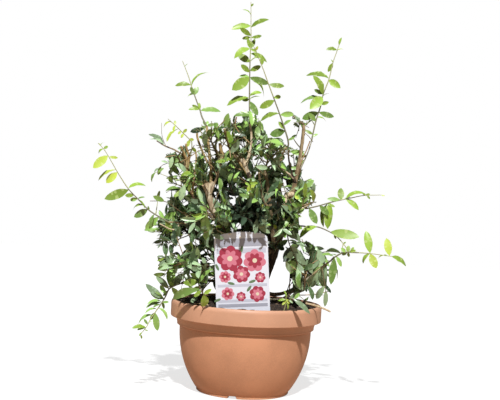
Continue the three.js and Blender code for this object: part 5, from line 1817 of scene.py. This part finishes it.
    def shoot(self, index, mass, path, draws):
        """A long shoot with its own leaves, and short twigs near its foot."""
        reach = mass["reach"] * MM + 0.012
        size = FINE["shoot_leaf"]
        points, radii = path.run(30)
        self.wood.add(points[:16], radii[:16], "grey", TWIG_RELIEF)
        self.wood.add(points[15:], radii[15:], "lime", TWIG_RELIEF)
        self.front.keep(points, radii)
        self.seen_leaves(mass["name"], path, mass["fresh"], draws)
        for k in range(mass["twigs"]):
            share = lerp(FIRST, 1 - mass["bare_tip"], (k + 0.5) / mass["twigs"])
            heading = path.heading(share)
            side = sideways(heading, k * GOLDEN_ANGLE + index)
            direction = leaning(heading, side, math.radians(draws.spread(*OPEN_DEGREES)))
            root = path.at(share)
            length = mass["twig"] * MM * (1 - SHORTENING * share) * draws.spread(*TWIG_LENGTH)
            tip = root + direction * length + UP * (RISE * length)
            if self.fits(index, root, tip, reach):
                twig = Path(root, tip, STRAIGHT, (TWIG["side"], TWIG["tip"]))
                self.twig(twig, "lime")
                fresh = lerp(*mass["fresh"], share) + draws.spread(-0.15, 0.3)
                self.leaf_pairs(index, twig, settings().leaf_step * 1.3, size * 0.85, draws, length * 0.35,
                                fresh, int(draws.one() * MOST_DEALT), reach)

    def seen_leaves(self, name, path, fresh, draws):
        """The single leaves of one carrier, each from the point of it that shows nearest to the root."""
        steps = 80
        points = path.run(steps)[0]
        places = [Vector(seen_at(point)) for point in points]
        for number, (across, down, *tip, width) in enumerate(SEEN_LEAVES.get(name, ())):
            depth = LEAF_DEPTHS.get((name, number))
            root = Vector((across, down))
            nearest = min(range(steps + 1), key=lambda step: (places[step] - root).length)
            age = lerp(*fresh, nearest / steps) + draws.spread(-0.12, 0.24)
            self.seen_leaf(points[nearest], tip, width / 100, age, draws, number * 5 + len(name), depth)

    def crown_leaves(self, draws):
        """The leaves that show at the crown's front, each on the frontmost twig near its root."""
        places = np.array([seen_at(point) for point in self.hangers])
        depths = np.array([point.y for point in self.hangers])
        for number, (across, down, *tip, width, fresh) in enumerate(CROWN_LEAVES):
            away = np.hypot(places[:, 0] - across, places[:, 1] - down)
            nearest = int(np.where(away < NEAR_STEPS, depths, 1 + away).argmin())
            if away[nearest] < FAR_STEPS:
                root = self.hangers[nearest]
                self.seen_leaf(root, tip, width / 100, fresh / 100, draws, number * 5)

    def grow(self):
        """Places all the wood and the leaves, those that stand out first."""
        paths = limb_paths()
        stems = []
        for mass in MASSES:
            name, tip, bough = mass["name"], mass["tip"], paths[mass["bough"]]
            start = bough.tip + bough.heading(1) * STEM_GAP
            if name in WAYS:
                stems.append(Way(start, tip, WAYS[name], (TWIG["stem"] * 0.75, TWIG["tip"] * 1.2)))
            else:
                stems.append(Path(start, mm(tip), STRAIGHT, (TWIG["stem"], TWIG["side"])))
        self.crown = Crown(paths, stems)
        self.front = FrontView()
        self.wood = Wood(TWIG_SHADES)
        self.hangers = []
        self.waiting = []
        self.sprays = {tone: Sprays() for tone in TONES}
        for name, share in SHOWN_BOUGHS.items():
            self.front.keep_lit(paths[name], share)
        own = own_twigs(paths)
        for name, path in own.items():
            if path.radii[0] < STUB_RADIUS:
                self.front.keep(*self.twig(path, OWN_TWIGS[name][4]))
            else:
                self.front.keep_lit(path, 0.2)
        carriers = {**own, **{f"bough_{name}": path for name, path in paths.items()}}
        for name, fresh in LEAF_AGES.items():
            self.seen_leaves(name, carriers[name], fresh, Draws(settings().seed + len(name)))
        for index, (mass, path) in enumerate(zip(MASSES, stems)):
            draws = Draws(settings().seed + index * 101)
            if mass["name"] in WAYS:
                self.shoot(index, mass, path, draws)
            else:
                self.twig(path, "brown")
                self.dense_growth(index, mass, paths[mass["bough"]], path, draws)
        self.crown_leaves(Draws(settings().seed))
        for root, chord, face, width, fresh, *rest in self.waiting:
            for part in LEAF_PARTS:
                if not any(self.front.bars(root + chord * (part * share), margin)
                           for share, margin in LEAF_TESTS):
                    # Painted shade: a leaf that shows in a hollow takes the dark shadow tone.
                    fresh = IN_SHADE if self.front.in_hollow(root + chord * (part / 2)) else fresh
                    self.place_leaf(root, chord * part, face, width, fresh, *rest)
                    break

    def execute(self, context):
        self.grow()
        finishes = [Finish(f"{name} twig", colour, 0.7).material for name, colour in TWIG_SHADES.items()]
        twigs = self.wood.build("twigs", 6, 0.0004, 400.0, finishes)
        finish_piece(twigs, "foliage", *[mass["name"] for mass in MASSES])
        kinds = kinds_collection("leaf kinds", [leaf_shape(*kind) for kind in self.KINDS])
        for tone, sprays in self.sprays.items():
            under, rough, apart = TONES[tone]
            upper = getattr(settings(), f"leaf_{tone}")
            colours = three_shades(upper, apart) + three_shades(shade(*under), apart / 3)
            finishes = [Finish(f"leaf {tone} {number}", colour, rough if number < UNDER else 0.6).material
                        for number, colour in enumerate(colours)]
            finish_piece(sprays.build(f"leaves_{tone}", kinds, finishes), "foliage")
        forget(kinds)
        return {"FINISHED"}


def floor_finish():
    """A pale floor that throws little light back up."""
    finish = Finish("floor", (0.3, 0.3, 0.3), 0.9, Emission_Color=(1, 1, 1, 1), Emission_Strength=0.72)
    dim = finish.add("ShaderNodeBsdfDiffuse", None, {"Color": (0.5, 0.37, 0.27, 1)})
    seen = finish.add("ShaderNodeLightPath").outputs["Is Camera Ray"]
    mixed = finish.add("ShaderNodeMixShader", None,
                       {0: seen, 1: dim.outputs[0], 2: finish.shader.outputs[0]})
    finish.tree.links.new(mixed.outputs[0], finish.tree.nodes["Material Output"].inputs["Surface"])
    return finish.material


class POMEGRANATE_OT_stage(bpy.types.Operator):
    """Sets a pale floor, a soft studio light and the camera"""

    bl_idname = "pomegranate.stage"
    bl_label = "Stage"

    def execute(self, context):
        floor = mesh_piece("floor", [(-4, -4, 0), (4, -4, 0), (4, 4, 0), (-4, 4, 0)], [(0, 1, 2, 3)],
                           floor_finish(), smooth=False)
        floor.location.z = -0.0004
        world = bpy.data.worlds.new("studio")
        world.use_nodes = True
        graph = Graph(world.node_tree)
        view = Value(graph, graph.add("ShaderNodeLightPath").outputs["Is Camera Ray"])
        background = world.node_tree.nodes["Background"]
        background.inputs["Color"].default_value = (1, 1, 1, 1)
        world.node_tree.links.new((view * 0.8 + 0.2).socket, background.inputs["Strength"])
        context.scene.world = world
        context.scene.view_settings.view_transform = "Standard"
        light = bpy.data.objects.new("key", bpy.data.lights.new("key", "SUN"))
        light.data.energy = 4.3
        light.data.angle = math.radians(2)
        light.rotation_euler = Vector(settings().sunlight).to_track_quat("Z", "Y").to_euler()
        context.scene.collection.objects.link(light)
        lens = bpy.data.cameras.new("camera")
        lens.lens = CAMERA["lens"]
        lens.sensor_width = SENSOR
        camera = bpy.data.objects.new("camera", lens)
        axes = Matrix((RIGHTWARD, UPWARD, -FORWARD)).transposed()
        camera.matrix_world = Matrix.Translation(EYE) @ axes.to_4x4()
        context.scene.collection.objects.link(camera)
        context.scene.camera = camera
        return {"FINISHED"}


class POMEGRANATE_PT_panel(bpy.types.Panel):
    """Lists the plant's pieces in the 3D view's sidebar"""

    bl_label = "Potted pomegranate tree"
    bl_idname = "POMEGRANATE_PT_panel"
    bl_space_type = "VIEW_3D"
    bl_region_type = "UI"
    bl_category = "Pomegranate"

    def draw(self, context):
        sizes = context.scene.pomegranate
        for name in sizes.__annotations__:
            self.layout.prop(sizes, name)
        for operator in OPERATORS:
            self.layout.operator(operator.bl_idname)


OPERATORS = (POMEGRANATE_OT_pot, POMEGRANATE_OT_soil, POMEGRANATE_OT_card, POMEGRANATE_OT_wood,
             POMEGRANATE_OT_foliage, POMEGRANATE_OT_stage)
CLASSES = (PomegranateSettings, *OPERATORS, POMEGRANATE_PT_panel)


def register():
    for each in CLASSES:
        bpy.utils.register_class(each)
    bpy.types.Scene.pomegranate = PointerProperty(type=PomegranateSettings)


def unregister():
    del bpy.types.Scene.pomegranate
    for each in reversed(CLASSES):
        bpy.utils.unregister_class(each)


def main():
    register()
    bpy.ops.pomegranate.pot()
    bpy.ops.pomegranate.soil()
    bpy.ops.pomegranate.card()
    bpy.ops.pomegranate.wood()
    bpy.ops.pomegranate.foliage()
    bpy.ops.pomegranate.stage()


if __name__ == "__main__":
    main()
